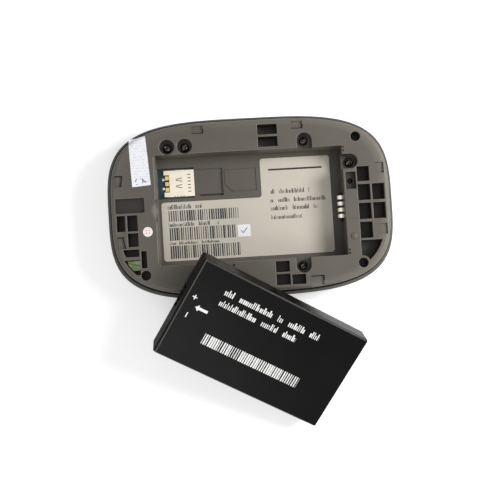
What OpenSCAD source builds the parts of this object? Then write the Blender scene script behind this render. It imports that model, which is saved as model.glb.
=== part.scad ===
// Mobile hotspot lying on its front face, rear cover off, battery pack leaning on its long edge.
// Origin: middle of the front face. +Z points to the rear side, +X along the long side.

/* [Body] */
// Length of the housing, along X
body_l = 107.4; // [95:0.2:135]
// Width of the housing, along Y
body_w = 67.8; // [55:0.2:85]
// Squareness of the outline: 2 is an ellipse, larger is squarer
outline_power = 3.54; // [3:0.02:5]
// Side wall of the front housing
wall = 1.4; // [1.1:0.05:1.8]
// Front wall of the front housing
front_wall = 2.2; // [1.8:0.1:2.8]
// Rounding of the front edge
front_edge_r = 4; // [2:0.1:5]
// Gap between the housing's rim and the rear frame
seam_gap = 0.35; // [0.2:0.05:0.6]
// How far the rear frame stands above the housing's rim
frame_rise = 5.3; // [4:0.1:7]
// Rounding of the rear frame's top edge
frame_edge_r = 1.6; // [0.8:0.1:2.5]
// How far the rear frame reaches down inside the housing's rim
frame_lip = 1.2; // [0.8:0.1:1.6]
// Skin of the rear frame
frame_skin = 1.2; // [0.9:0.1:1.6]
// Ribs and pocket walls of the rear frame
rib = 0.8; // [0.6:0.05:1.1]

/* [Battery bay] */
// Part of the body's length beyond the bay, at each end
end_block = 18.85; // [18:0.05:24]
// Part of the body's width beyond the bay, on each side
side_block = 13.4; // [12.8:0.1:18]
// Thickness of the bay's floor
floor_t = 1.2; // [1:0.1:1.8]
// Thickness of the battery pack
battery_t = 9.6; // [7:0.1:14]
// Room between the battery and each end of the bay
battery_end_gap = 0.65; // [0.4:0.05:1.2]
// Room between the battery and each side of the bay
battery_side_gap = 0.9; // [0.3:0.05:1.5]
// Room above the battery, below the frame's top face
battery_top_gap = 0.2; // [0:0.05:0.8]
// Radius of the finger scoop in the bay's west edge
scoop_r = 5.6; // [4:0.1:9]
// How far the finger scoop reaches past that edge
scoop_reach = 2; // [1:0.1:3]

/* [Battery pack] */
// Length of the moulded end that holds the contacts
cap_l = 3.4; // [3:0.1:5]
// Wall of the moulded end
cap_wall = 1; // [0.8:0.1:1.4]
// Wall of the sleeve round the cell
sleeve_wall = 0.4; // [0.3:0.05:0.8]
// Rounding of the pack's long edges
battery_edge_r = 0.9; // [0.4:0.1:2]
// Thickness of the protection board
cell_board_t = 0.8; // [0.6:0.1:1.2]

/* [Battery lean] */
// Turn of the leaning pack about the vertical
lean_turn = -29.9; // [-60:0.1:-5]
// Tip of the pack along its length, moulded end up
lean_end_tip = 12.2; // [8:0.1:16]
// Tip of the pack across its width
lean_side_tip = 14.7; // [10:0.1:20]
// Place of the pack along the housing's edge
lean_shift = -7.7; // [-15:0.1:10]
// Gap between the pack and the frame's edge that it leans on
lean_gap = 0.25; // [0.2:0.05:0.6]

/* [Contacts] */
// Spacing of the contacts
contact_pitch = 2.35; // [2:0.05:3]
// Width of one contact leaf
contact_w = 1.45; // [1:0.05:1.6]
// Height of one contact's bow
contact_h = 3; // [2:0.1:4]
// Thickness of the leaf metal
leaf_t = 0.3; // [0.2:0.05:0.4]
// How far a contact stands into the bay
contact_reach = 2; // [1.4:0.1:2.6]
// How far a contact can be pressed back
contact_travel = 0.8; // [0.4:0.1:1]
// Clearance round a contact in its slot
contact_gap = 0.15; // [0.1:0.05:0.25]
// Distance from the bay's north side to the middle of the contacts
contact_from_north = 22.45; // [18.45:0.05:26.45]

/* [Display] */
// Thickness of the front lens
lens_t = 1; // [0.7:0.1:1.4]
// Distance from the outline to the lens
lens_inset = 7; // [6:0.1:9]
// Clearance round the lens
lens_gap = 0.15; // [0.1:0.05:0.4]
// Thickness of the adhesive tape under the lens
tape_t = 0.2; // [0.1:0.05:0.3]
// Part of the body's length beyond the display panel, at each end
display_end = 26.7; // [23.7:0.1:31.7]
// Part of the body's width beyond the display panel, on each side
display_side = 13.6; // [13.4:0.1:18.9]
// Thickness of the display panel
display_t = 2.4; // [1.6:0.1:3]
// Clearance round the display panel
display_gap = 0.3; // [0.2:0.05:0.6]

/* [Main board] */
// Thickness of the main board
board_t = 1; // [0.8:0.1:1.6]
// Room for parts between the display and the board
part_room = 1.4; // [1.3:0.1:2.5]
// Clearance round the board
board_gap = 0.5; // [0.3:0.05:1]
// Sheet thickness of the shield cans
can_t = 0.2; // [0.15:0.05:0.3]

/* [Screws] */
// Radius of the screw shank
screw_r = 0.8; // [0.6:0.05:1]
// Radius of the screw head
screw_head_r = 1.6; // [1.3:0.05:2]
// Height of the screw head
screw_head_h = 1.2; // [0.8:0.1:1.6]
// Length of the screw shank
screw_l = 6; // [4:0.5:7]
// Radius of the recess round a screw head
screw_recess_r = 2.8; // [2.4:0.1:3]
// Depth of that recess below the frame's top face
screw_depth = 4.3; // [3:0.1:5]
// Distance from the bay's edge to a screw
screw_off = 2.9; // [2.9:0.05:3.4]
// Radius of the boss that takes a screw
boss_r = 1.8; // [1.5:0.05:1.8]
// Radius of the boss's shoulder under the board
shoulder_r = 2.4; // [2.3:0.05:2.4]
// Clearance between screw and boss, and between boss and board
screw_gap = 0.05; // [0.03:0.01:0.1]

/* [Card reader] */
// Length of the card reader's shell
reader_l = 11.7; // [10.5:0.1:13]
// Width of the card reader's shell
reader_w = 10.3; // [9.5:0.1:11.5]
// Height of the card reader's shell
reader_h = 1.25; // [1.1:0.05:1.4]

/* [Keys and ports] */
// Length of the power button
power_l = 9; // [6:0.1:12]
// Height of the power button
power_h = 2.4; // [1.8:0.1:2.8]
// How far the power button stands out of the wall
power_proud = 0.6; // [0.3:0.1:1]
// Travel of the power and reset buttons
key_travel = 0.4; // [0.2:0.05:0.5]
// Running clearance round a button
key_gap = 0.15; // [0.1:0.05:0.3]
// Radius of the reset button
reset_r = 0.9; // [0.6:0.05:1.1]
// Depth of the USB socket
usb_l = 7.35; // [6:0.05:7.8]
// Radius of an external antenna jack
jack_r = 2; // [1.6:0.1:2.4]
// Length of an external antenna jack
jack_l = 5.5; // [4:0.1:6]
// Distance of the antenna jacks from the middle
jack_x = 22; // [16:0.5:26]

/* [Rear cover seats] */
// Radius of the four holes that locate the rear cover
peg_r = 1.8; // [1.4:0.05:2]
// Depth of those holes
peg_depth = 5; // [3:0.1:6]
// Distance of those holes from the ends of the housing
peg_from_end = 13.4; // [12:0.1:16]
// Distance of those holes from the sides of the housing
peg_from_side = 10.2; // [9:0.1:12]
// Depth of the deep moulding pockets
pocket_depth = 5.6; // [3:0.1:6]
// Depth of the shallow recesses for the cover's latches
latch_depth = 0.8; // [0.4:0.1:1.2]

/* [Labels] */
// Thickness of the stickers and the label
sticker_t = 0.1; // [0.06:0.01:0.2]
// Corner rounding of the information label
label_r = 1.2; // [0.6:0.1:2]

/* [Hidden] */

$fn = 48;
outline_points = 96;
arc_steps = 4;
// Overlap that joins solids, and how far cuts run past a surface
lap = 0.01;
cut = 0.5;

// Standard sizes: nano card, USB socket and the pack's contacts
card_l = 12.3;
card_w = 8.8;
card_t = 0.67;
card_corner = 2.6;
usb_w = 8.94;
usb_h = 3.16;
contact_count = 4;

// Display panel, within the lens
display_l = body_l - 2 * display_end;
display_w = body_w - 2 * display_side;

// Heights, from the front face up
lens_seat_z = lens_t + tape_t;
display_top = lens_t + display_t;
board_z = display_top + part_room;
board_top = board_z + board_t;
floor_z = board_top + floor_t;
frame_top = floor_z + battery_t + battery_top_gap;
rim_z = frame_top - frame_rise;
skirt_z = rim_z - frame_lip;
screw_seat = frame_top - screw_depth;
boss_top = screw_seat - frame_skin;

// The bay and the pack that fits it
frame_inset = wall + seam_gap;
bay_l = body_l - 2 * end_block;
bay_w = body_w - 2 * side_block;
bay_e = bay_l / 2;
bay_n = bay_w / 2;
battery_l = bay_l - 2 * battery_end_gap;
battery_w = bay_w - 2 * battery_side_gap;
tub_wall = 1;
bay_chamfer = 1.1;
chamfer_end = 0.6;

// Screws: two beside the reader, then one on each of three sides of the bay, opening into it
north_y = bay_n + screw_off;
east_x = bay_e + screw_off;
screw_spots = [
    [4.65 - bay_e, north_y], [11.2 - bay_e, north_y], [bay_e - 13.8, north_y],
    [east_x, bay_n - 6], [bay_e - 16.8, -north_y]
];
open_screws = [[2, [0, -1]], [3, [-1, 0]], [4, [0, 1]]];
socket_r = 1;
socket_depth = 0.78;

// Card reader, in the bay's north-west corner
reader_x = 8 - bay_e;
reader_west = reader_x - reader_l / 2;
reader_y = bay_n - 9.5;
reader_sheet = 0.2;
reader_slots = [-2.9, -1.1, 1.1, 2.9];
reader_slot = [6.4, 0.35];
reader_slot_x = 1.2;
reader_mouth = [2.4, 6.6];
reader_mouth_x = 1;
base_edge = 0.4;
base_t = 0.3;
tail_size = [1.4, 1.5, 0.35];
tail_x = 1.3;
tail_pitch = 2.2;
finger_size = [3, 0.8, 0.25];
finger_x = 1.6;
finger_pitch = 2.54;
well_l = 11;
well_w = card_w + 1.3;
well_x = reader_x + reader_l / 2 + well_l / 2;
well_depth = card_t;
window_gap = 0.7;
drain_w = 0.8;
drain_off = 1;
ridge_size = [0.5, 7.4];
ridge_h = 0.2;
symbol_depth = 0.25;
symbol_line = 0.35;
symbol_x = well_x + well_l / 2 + ridge_size[0] + card_l / 2;

// Information label, an L round the card area
label_gap = 1.8;
label_w_edge = 0.8 - bay_e;
label_e_edge = bay_e - 3.5;
label_notch_x = symbol_x + card_l / 2 + 1.7;
label_notch_y = bay_n - 16.7;
check_spot = [-3.05, 11.95 - bay_n];
check_size = [4.9, 4.6];
dot_spot = [-bay_e - 4, -7.7];
dot_r = 1.8;
paper_corners = [
    [-bay_e - 9.4, bay_n + 6.5], [-bay_e - 3.1, bay_n + 7.4],
    [-bay_e - 1.9, bay_n - 10.9], [-bay_e - 8.8, bay_n - 11.4]
];

// Battery contacts
contact_y = bay_n - contact_from_north;
contact_slot_w = contact_w + 2 * contact_gap;
contact_z = floor_z + 3.6;
contact_in = 1.6;
contact_slot_l = contact_in + contact_travel + contact_gap;
contact_slot_h = contact_h + 2 * contact_gap;
block_l = contact_in + contact_travel + 1.2;
block_w = contact_pitch * (contact_count - 1) + contact_slot_w + 2.2;
block_top = contact_z + contact_h / 2 + 0.9;
pad_h = 2.2;

// Reset button, behind the east wall of the bay
reset_x = bay_e + 2.7;
reset_y = bay_n - 13.3;
reset_pocket = [3.8, 6.4];
reset_pocket_depth = 2;
reset_seat = frame_top - reset_pocket_depth - frame_skin;
reset_flange_r = reset_r + 0.5;
reset_flange_t = 1;
reset_stem_r = reset_r - 0.2;
reset_sunk = 0.3;
reset_switch_size = [3, 3];
switch_h = 1.6;
reset_stem_low = board_top + switch_h + key_travel + key_gap;

// Power button, in the north wall
power_x = -8;
power_z = board_top + 1.6;
power_flange = 0.8;
power_flange_edge = 0.6;
power_back_y = body_w / 2 - wall - key_gap - power_flange;
power_switch_size = [4.5, 3, 2.6];

// Ports, in the south wall
port_back = 0.4;
usb_z = board_top + usb_h / 2;
usb_wall = 0.3;
usb_back = 0.6;
tongue_size = [6.7, 5.6, 0.7];
port_gap = 0.3;
jack_z = board_top + jack_r + 0.3;
jack_bore_r = jack_r - 0.6;
jack_pin_r = 0.3;
jack_back = 1.2;
jack_pin_in = 1;
jack_pin_tip = 0.3;
jack_foot = 2;

// Parts on the board and antennas on the wall
led_spot = [0, display_w / 2 + 4];
pipe_r = 0.8;
pipe_gap = 0.1;
led_h = 0.6;
led_size = [1.6, 0.8];
ribbon_w = 12;
ribbon_t = 0.2;
ribbon_out = 2.4;
ribbon_z = display_top - 0.9;
can_gap = 0.15;
chip_t = 0.9;
modem_spot = [-13, 3];
modem_size = [26, 24];
wifi_spot = [15, -3];
wifi_size = [20, 18];
modem_chip_size = [13, 12];
wifi_chip_size = [10, 9];
antenna_t = 0.25;
antenna_span = 40.6;
wifi_antenna_x = 24;
wifi_antenna_span = 28;
foil_window = 12;
antenna_z = board_top + 0.4;
antenna_h = skirt_z - antenna_z - 0.2;

// Holes for the rear cover's pegs
peg_x = body_l / 2 - peg_from_end;
peg_y = body_w / 2 - peg_from_side;

// Moulding pockets, each [x, y, length, width]: a grid at the east end and groups on the other sides
grid_x = bay_e + 7.4;
grid_pitch = [5.35, 7.1];
grid_cell = [4.6, 6];
grid_top = 9.7;
// The first pocket is shorter, to stay clear of the screw recess
grid_clear = 0.4;
east_pockets = concat(
    [[grid_x, grid_top - grid_clear / 2, grid_cell[0], grid_cell[1] - grid_clear]],
    [for (row = [1 : 3]) [grid_x, grid_top - row * grid_pitch[1], grid_cell[0], grid_cell[1]]],
    [for (row = [1 : 2]) [grid_x + grid_pitch[0], grid_top - row * grid_pitch[1], grid_cell[0], grid_cell[1]]]
);
north_pockets = [for (row = [0 : 1]) [7.4, bay_n + 3 + row * 4.6, 7.3, 3.8]];
south_pockets = [[10.1, -bay_n - 2.9, 5.1, 4], [10.1, -bay_n - 7.7, 5.1, 4], [15.9, -bay_n - 7.9, 5.1, 3.6]];
west_x = -bay_e - 9.5;
west_pockets = [[west_x, -4.2, 3.8, 5.9], [west_x - 4.2, -4.2, 3.1, 5.9], [west_x, -10.4, 3.8, 5]];
slot_pocket = [[-bay_e - 5.9, -17.8, 2, 6.3]];
deep_pockets = concat(east_pockets, north_pockets, south_pockets, west_pockets, slot_pocket);
shallow_recess = [west_x - 0.6, 2.3, 10.6, 5.5];
shallow_depth = 1.2;

// Pockets that follow the rim, each [low x, low y, high x, high y, inset from the outline]
rim_pocket_inset = frame_inset + 2.6;
peg_ring_r = peg_r + rib;
corner_pocket = [bay_e + 5, -peg_y, body_l / 2, -15.4, rim_pocket_inset];
wedge_pocket = [-body_l / 2, -16.6, -bay_e - 7.6, -13.9, rim_pocket_inset];
tuner_pocket = [-body_l / 2, -23.4, -bay_e - 7.4, -17.8, frame_inset + frame_skin];
tuner_size = [4.8, 3.7];
tuner_gap = 0.2;
tuner_depth = 3.6;

// Small gate holes beside the bay's corners and in the south strip, and a dome that the rear cover clicks over
gate_size = [0.6, 0.7];
gate_depth = 0.7;
gate_spots = [for (sy = [-1, 1], step = [0, 1.3]) [bay_e + 0.55, sy * (bay_n - 0.6 - step)]];
pin_hole = [-7.9, -bay_n - 1.3];
pin_hole_r = 0.45;
pin_hole_depth = 0.9;
dome_spot = [bay_e + 2.6, 6.8 - bay_n];
dome_r = 1.3;
dome_top_r = 0.7;
dome_h = 0.35;

// Latch recesses of the rear cover: wedges at the ends, blocks on the sides as [x, y, length, width]
wedge_latch_x = [body_l / 2 - 6, body_l / 2 - 6.7, body_l / 2 - 3.5];
wedge_latch_y = [9.4, 13.5];
north_latch = [18.55, body_w / 2 - 4.65, 4.1, 2.7];
south_latch = [22.85, body_w / 2 - 3.9, 4.6, 5];

// Places along the pack, from its moulded end
pack_end = -battery_l / 2;
cap_end = pack_end + cap_l;
cell_board_x = pack_end + cap_wall;
cap_step = 0.15;
cap_room = 1.2;
cell_board_edge = 1.4;
cell_gap = 0.05;
pad_t = 0.2;
pad_slot_h = contact_h + 1;
pad_slot_z = contact_z - pad_slot_h / 2 - floor_z;
tab_l = cap_l - cap_wall - cell_board_t - pad_t;
tab_w = 3;
tab_t = 0.2;

// The pack's place: its low corner on the table, its underside on the rounded edge of the frame
lean_low = sin(lean_end_tip) * battery_l / 2 + cos(lean_end_tip) * sin(lean_side_tip) * battery_w / 2;
lean_u = sin(lean_end_tip) * cos(lean_side_tip);
lean_v = sin(lean_side_tip);
lean_normal = [
    cos(lean_turn) * lean_u + sin(lean_turn) * lean_v,
    sin(lean_turn) * lean_u - cos(lean_turn) * lean_v,
    cos(lean_end_tip) * cos(lean_side_tip)
];
lean_slope = norm([lean_normal[0], lean_normal[1]]);
downhill = [lean_normal[0], lean_normal[1]] / lean_slope;
edge_inset = frame_inset + frame_edge_r;
dual_power = outline_power / (outline_power - 1);
edge_reach = pow(
    pow((body_l / 2 - edge_inset) * abs(downhill[0]), dual_power)
    + pow((body_w / 2 - edge_inset) * abs(downhill[1]), dual_power), 1 / dual_power);
lean_height = lean_slope * edge_reach + lean_normal[2] * (frame_top - frame_edge_r) + frame_edge_r + lean_gap;
lean_out = (lean_height - lean_normal[2] * lean_low) / lean_slope;
lean_place = [
    downhill[0] * lean_out - downhill[1] * lean_shift,
    downhill[1] * lean_out + downhill[0] * lean_shift,
    lean_low
];

// One coordinate of a superellipse with a half-axis and the cosine or sine of its angle
function super(half, c) = half * sign(c) * pow(abs(c), 2 / outline_power);

// The body's outline, drawn in by an inset
function ring(inset) = [
    for (i = [0 : outline_points - 1])
        let (t = 360 * i / outline_points)
            [super(body_l / 2 - inset, cos(t)), super(body_w / 2 - inset, sin(t))]
];

module ring_slab(inset, z0, z1) {
    translate([0, 0, z0]) linear_extrude(z1 - z0) polygon(ring(inset));
}

// A solid through a stack of outlines, each level given as [inset, height]
module ring_loft(levels) {
    n = outline_points;
    points = [for (level = levels) for (p = ring(level[0])) [p[0], p[1], level[1]]];
    sides = [
        for (k = [0 : len(levels) - 2], i = [0 : n - 1])
            let (a = k * n + i, b = k * n + (i + 1) % n)
                for (face = [[a, a + n, b + n], [a, b + n, b]]) face
    ];
    low = [for (i = [0 : n - 1]) i];
    high = [for (i = [n - 1 : -1 : 0]) (len(levels) - 1) * n + i];
    polyhedron(points, concat([low, high], sides));
}

// Front housing's outside: rounded front edge, flat rim
module housing_outside() {
    ring_loft(concat(
        [for (k = [0 : arc_steps])
            let (t = 90 * k / arc_steps) [front_edge_r * (1 - sin(t)), front_edge_r * (1 - cos(t))]],
        [[0, rim_z]]
    ));
}

// Rear frame's outside: straight skirt, rounded top edge, grown outwards by a film thickness
module frame_outside(film) {
    side = frame_inset - film;
    arc_z = frame_top + film - frame_edge_r;
    ring_loft(concat(
        [[side, skirt_z]],
        [for (k = [0 : arc_steps])
            let (t = 90 * k / arc_steps) [side + frame_edge_r * (1 - cos(t)), arc_z + frame_edge_r * sin(t)]]
    ));
}

// A box given by the middle of its floor plan, its size and its heights
module block(spot, size, z0, z1) {
    translate([spot[0] - size[0] / 2, spot[1] - size[1] / 2, z0]) cube([size[0], size[1], z1 - z0]);
}

// A cylinder given by its heights
module cylinder_at(r, z0, z1) {
    translate([0, 0, z0]) cylinder(r = r, h = z1 - z0);
}

// A plate with round corners
module plate(x0, y0, x1, y1, z, t, r) {
    translate([x0 + r, y0, z]) cube([x1 - x0 - 2 * r, y1 - y0, t]);
    translate([x0, y0 + r, z]) cube([x1 - x0, y1 - y0 - 2 * r, t]);
    for (x = [x0 + r, x1 - r], y = [y0 + r, y1 - r])
        translate([x, y, z]) cylinder(r = r, h = t);
}

// A bar with round ends along X, pointing along Y
module pill_bar(l, h, y0, y1) {
    translate([0, y1, 0]) rotate([90, 0, 0]) {
        translate([-(l - h) / 2, -h / 2, 0]) cube([l - h, h, y1 - y0]);
        for (x = [-(l - h) / 2, (l - h) / 2])
            translate([x, 0, 0]) cylinder(d = h, h = y1 - y0);
    }
}

// Moves a part from the pack's own frame to where the pack leans
module leaning() {
    translate(lean_place) rotate([lean_side_tip, lean_end_tip, lean_turn]) children();
}

module at_screws() {
    for (spot = screw_spots)
        translate([spot[0], spot[1], 0]) children();
}

function contact_spot(i) = contact_y + contact_pitch * ((contact_count - 1) / 2 - i);

module front_housing() {
    color("#4A4845") difference() {
        union() {
            difference() {
                housing_outside();
                ring_slab(wall, front_wall, rim_z + cut);
            }
            at_screws() {
                cylinder_at(shoulder_r, front_wall - lap, board_z);
                cylinder_at(boss_r, board_z - lap, boss_top);
            }
        }
        ring_slab(lens_inset - lens_gap, -cut, lens_seat_z);
        block([0, 0], [display_l + 2 * display_gap, display_w + 2 * display_gap], 0, front_wall + cut);
        at_screws() cylinder_at(screw_r + screw_gap, screw_seat - screw_l - cut, boss_top + cut);
        translate([led_spot[0], led_spot[1], 0]) cylinder_at(pipe_r + pipe_gap, 0, front_wall + cut);
        translate([power_x, 0, power_z])
            pill_bar(power_l + 2 * key_gap, power_h + 2 * key_gap, body_w / 2 - wall - cut, body_w / 2 + cut);
        translate([0, 0, usb_z])
            pill_bar(usb_w + 2 * port_gap, usb_h + 2 * port_gap, -body_w / 2 - cut, -body_w / 2 + wall + cut);
        for (side = [-1, 1])
            translate([side * jack_x, -body_w / 2 - cut, jack_z])
                rotate([-90, 0, 0]) cylinder(r = jack_r + port_gap, h = wall + 4 * cut);
    }
}

module display_lens() {
    color("#101114") ring_slab(lens_inset, 0, lens_t);
}

module lens_tape() {
    color("#1A1A1A") difference() {
        ring_slab(lens_inset + lens_gap, lens_t, lens_seat_z);
        block([0, 0], [display_l + 2 * display_gap, display_w + 2 * display_gap], 0, front_wall);
        translate([led_spot[0], led_spot[1], 0]) cylinder_at(pipe_r + pipe_gap, 0, front_wall);
    }
}

module display_panel() {
    color("#2B2F36") block([0, 0], [display_l, display_w], lens_t, display_top);
}

// Flat cable from the panel's west edge up to the board
module display_ribbon() {
    color("#B87A2E") translate([-display_l / 2 - ribbon_out, -ribbon_w / 2, ribbon_z]) {
        cube([ribbon_out, ribbon_w, ribbon_t]);
        cube([ribbon_t, ribbon_w, board_z - ribbon_z]);
    }
}

module main_board() {
    color("#2F5F52") difference() {
        ring_slab(wall + board_gap, board_z, board_top);
        at_screws() cylinder_at(boss_r + screw_gap, board_z - cut, board_top + cut);
    }
}

// A shield can under the board, open to the board
module shield(spot, size) {
    low_z = display_top + can_gap;
    color("#C9CACB") difference() {
        block(spot, size, low_z, board_z);
        block(spot, [size[0] - 2 * can_t, size[1] - 2 * can_t], low_z + can_t, board_z + cut);
    }
}

module modem_shield() {
    shield(modem_spot, modem_size);
}

module wifi_shield() {
    shield(wifi_spot, wifi_size);
}

module chip(spot, size) {
    color("#17181A") block(spot, size, board_z - chip_t, board_z);
}

module modem_chip() {
    chip(modem_spot, modem_chip_size);
}

module wifi_chip() {
    chip(wifi_spot, wifi_chip_size);
}

// A pocket that follows the rim, in plan, grown by a wall
module rim_plan(box, grow) {
    intersection() {
        translate([box[0] - grow, box[1] - grow])
            square([box[2] - box[0] + 2 * grow, box[3] - box[1] + 2 * grow]);
        polygon(ring(box[4] - grow));
    }
}

module rim_pocket(box, grow, z0, z1) {
    translate([0, 0, z0]) linear_extrude(z1 - z0) rim_plan(box, grow);
}

// Skin and skirt of the frame, with the walls of the bay, pockets and recesses that hang from it
module frame_solid() {
    pocket_low = frame_top - pocket_depth - rib;
    wall_top = frame_top - frame_skin + lap;
    difference() {
        frame_outside(0);
        ring_slab(frame_inset + frame_skin, skirt_z - cut, frame_top - frame_skin);
    }
    block([0, 0], [bay_l + 2 * tub_wall, bay_w + 2 * tub_wall], board_top, wall_top);
    for (p = deep_pockets)
        block([p[0], p[1]], [p[2] + 2 * rib, p[3] + 2 * rib], pocket_low, wall_top);
    for (box = [corner_pocket, wedge_pocket, tuner_pocket])
        rim_pocket(box, rib, pocket_low, wall_top);
    at_screws() cylinder_at(screw_recess_r + rib, boss_top, wall_top);
    for (x = [-peg_x, peg_x], y = [-peg_y, peg_y])
        translate([x, y, 0]) cylinder_at(peg_ring_r, frame_top - peg_depth - rib, wall_top);
    block([reset_x, reset_y], [reset_pocket[0] + 2 * rib, reset_pocket[1] + 2 * rib], reset_seat, wall_top);
    // Backing of the finger scoop
    translate([scoop_r - scoop_reach - bay_e, 0, 0]) cylinder_at(scoop_r + rib, frame_top - scoop_r, wall_top);
    block([shallow_recess[0], shallow_recess[1]], [shallow_recess[2] + 2 * rib, shallow_recess[3] + 2 * rib],
        frame_top - shallow_depth - frame_skin, wall_top);
}

module bay_cuts() {
    block([0, 0], [bay_l, bay_w], floor_z, frame_top + cut);
    // Finger scoop and chamfer on the west edge
    translate([scoop_r - scoop_reach - bay_e, 0, frame_top]) sphere(r = scoop_r);
    translate([-bay_e, 0, frame_top]) rotate([0, 45, 0])
        cube([bay_chamfer, bay_w - 2 * chamfer_end, bay_chamfer], center = true);
    // Window for the card reader, open to the west wall
    window_e = reader_x + reader_l / 2;
    translate([-bay_e, reader_y - reader_w / 2 - window_gap, board_top - cut])
        cube([window_e + bay_e, reader_w + 2 * window_gap, floor_t + 2 * cut]);
    // Well that the card slides through, its drain slot and the card symbol
    block([well_x, reader_y], [well_l + lap, well_w], floor_z - well_depth, floor_z + cut);
    block([well_x + drain_off, reader_y - well_w / 2], [well_l - 2 * drain_off, drain_w],
        board_top - cut, floor_z + cut);
    translate([symbol_x - card_l / 2, reader_y - card_w / 2, floor_z - symbol_depth]) difference() {
        card_outline(0, symbol_depth + cut);
        card_outline(symbol_line, symbol_depth + 2 * cut);
    }
    // Way through the wall for the contact block
    translate([bay_e - cut, contact_y - block_w / 2, board_top - cut])
        cube([tub_wall + 2 * cut, block_w, block_top - board_top + cut]);
}

// A nano card's outline with its cut corner, drawn in by an inset
module card_outline(inset, h) {
    linear_extrude(h) polygon([
        [inset + card_corner, inset], [card_l - inset, inset], [card_l - inset, card_w - inset],
        [inset, card_w - inset], [inset, inset + card_corner]
    ]);
}

module frame_cuts() {
    pocket_floor = frame_top - pocket_depth;
    for (p = deep_pockets)
        block([p[0], p[1]], [p[2], p[3]], pocket_floor, frame_top + cut);
    for (box = [wedge_pocket, tuner_pocket])
        rim_pocket(box, 0, pocket_floor, frame_top + cut);
    difference() {
        rim_pocket(corner_pocket, 0, pocket_floor, frame_top + cut);
        translate([peg_x, -peg_y, 0]) cylinder_at(peg_ring_r, pocket_floor - cut, frame_top + 2 * cut);
    }
    block([shallow_recess[0], shallow_recess[1]], [shallow_recess[2], shallow_recess[3]],
        frame_top - shallow_depth, frame_top + cut);
    // Screw recesses, three of them open to the bay
    at_screws() {
        cylinder_at(screw_recess_r, screw_seat, frame_top + cut);
        cylinder_at(screw_r + 2 * screw_gap, boss_top - cut, screw_seat + cut);
        // Room for the housing's boss below the seat
        cylinder_at(boss_r + screw_gap, board_top, boss_top);
    }
    for (s = open_screws) {
        spot = screw_spots[s[0]] + s[1] * (screw_off / 2);
        along = s[1][0] == 0 ? [2 * screw_recess_r, screw_off + cut] : [screw_off + cut, 2 * screw_recess_r];
        block(spot, along, screw_seat, frame_top + cut);
    }
    for (x = [-peg_x, peg_x], y = [-peg_y, peg_y])
        translate([x, y, 0]) cylinder_at(peg_r, frame_top - peg_depth, frame_top + cut);
    // Reset pocket and the bore that guides the button
    block([reset_x, reset_y], reset_pocket, frame_top - reset_pocket_depth, frame_top + cut);
    translate([reset_x, reset_y, 0]) cylinder_at(reset_r + key_gap, reset_seat - cut, frame_top);
    // Latch recesses, the south ones open to the rim
    latch_low = frame_top - latch_depth;
    for (sx = [-1, 1]) {
        for (sy = [-1, 1])
            translate([0, 0, latch_low]) linear_extrude(latch_depth + cut) polygon([
                [sx * wedge_latch_x[0], sy * wedge_latch_y[0]], [sx * wedge_latch_x[2], sy * wedge_latch_y[0]],
                [sx * wedge_latch_x[2], sy * wedge_latch_y[1]], [sx * wedge_latch_x[1], sy * wedge_latch_y[1]]
            ]);
        block([sx * north_latch[0], north_latch[1]], [north_latch[2], north_latch[3]], latch_low, frame_top + cut);
        block([sx * south_latch[0], -south_latch[1]], [south_latch[2], south_latch[3]], latch_low, frame_top + cut);
    }
    for (spot = gate_spots)
        block(spot, gate_size, frame_top - gate_depth, frame_top + cut);
    translate([pin_hole[0], pin_hole[1], 0])
        cylinder_at(pin_hole_r, frame_top - pin_hole_depth, frame_top + cut);
}

module rear_frame() {
    color("#6B6862") {
        difference() {
            frame_solid();
            bay_cuts();
            frame_cuts();
        }
        translate([dome_spot[0], dome_spot[1], frame_top - lap])
            cylinder(r1 = dome_r, r2 = dome_top_r, h = dome_h + lap);
        // Ridge at the end of the card's well
        block([well_x + (well_l + ridge_size[0]) / 2, reader_y], ridge_size, floor_z - lap, floor_z + ridge_h);
    }
}

// Screws with a six-point socket in the head
module frame_screws() {
    color("#2A2928") at_screws() difference() {
        union() {
            cylinder_at(screw_r, screw_seat - screw_l, screw_seat + lap);
            cylinder_at(screw_head_r, screw_seat, screw_seat + screw_head_h);
        }
        for (turn = [0, 60])
            rotate([0, 0, turn])
                translate([0, 0, screw_seat + screw_head_h - socket_depth])
                    cylinder(r = socket_r, h = screw_head_h, $fn = 3);
    }
}

module sim_shell() {
    color("#E9E4D8") difference() {
        block([reader_x, reader_y], [reader_l, reader_w], board_top, board_top + reader_h);
        // Hollow, open to the board and to the east, where the card goes in
        translate([reader_west + reader_sheet, reader_y - reader_w / 2 + reader_sheet, board_top - cut])
            cube([reader_l + cut, reader_w - 2 * reader_sheet, reader_h - reader_sheet + cut]);
        // Slots that free the spring tongues, and the opening over the terminals
        for (y = reader_slots)
            block([reader_x + reader_slot_x, reader_y + y], reader_slot, board_top, board_top + reader_h + cut);
        block([reader_west + reader_mouth_x, reader_y], reader_mouth,
            board_top, board_top + reader_h + cut);
    }
}

module sim_base() {
    color("#22262A") block([reader_x, reader_y], [reader_l - 2 * base_edge, reader_w - 2 * base_edge],
        board_top, board_top + base_t);
}

module sim_terminals() {
    low = board_top + base_t;
    color("#D8B25C") for (row = [-1, 0, 1]) {
        block([reader_west + tail_x, reader_y + tail_pitch * row], tail_size, low, low + tail_size[2]);
        block([reader_x + finger_x, reader_y + finger_pitch * row], finger_size, low, low + finger_size[2]);
    }
}

// Side view of one contact: a leaf bent into a round bow, drawn in by an inset
module contact_side(inset) {
    r = contact_h / 2;
    translate([r, 0]) circle(r = r - inset);
    translate([r, inset - r]) square([contact_reach + contact_in - r - inset, contact_h - 2 * inset]);
}

module contact(i) {
    color("#E8C873")
        translate([bay_e - contact_reach, contact_spot(i) + contact_w / 2, contact_z])
            rotate([90, 0, 0]) linear_extrude(contact_w) difference() {
                contact_side(0);
                contact_side(leaf_t);
            }
}

module contact_1() {
    contact(0);
}

module contact_2() {
    contact(1);
}

module contact_3() {
    contact(2);
}

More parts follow.
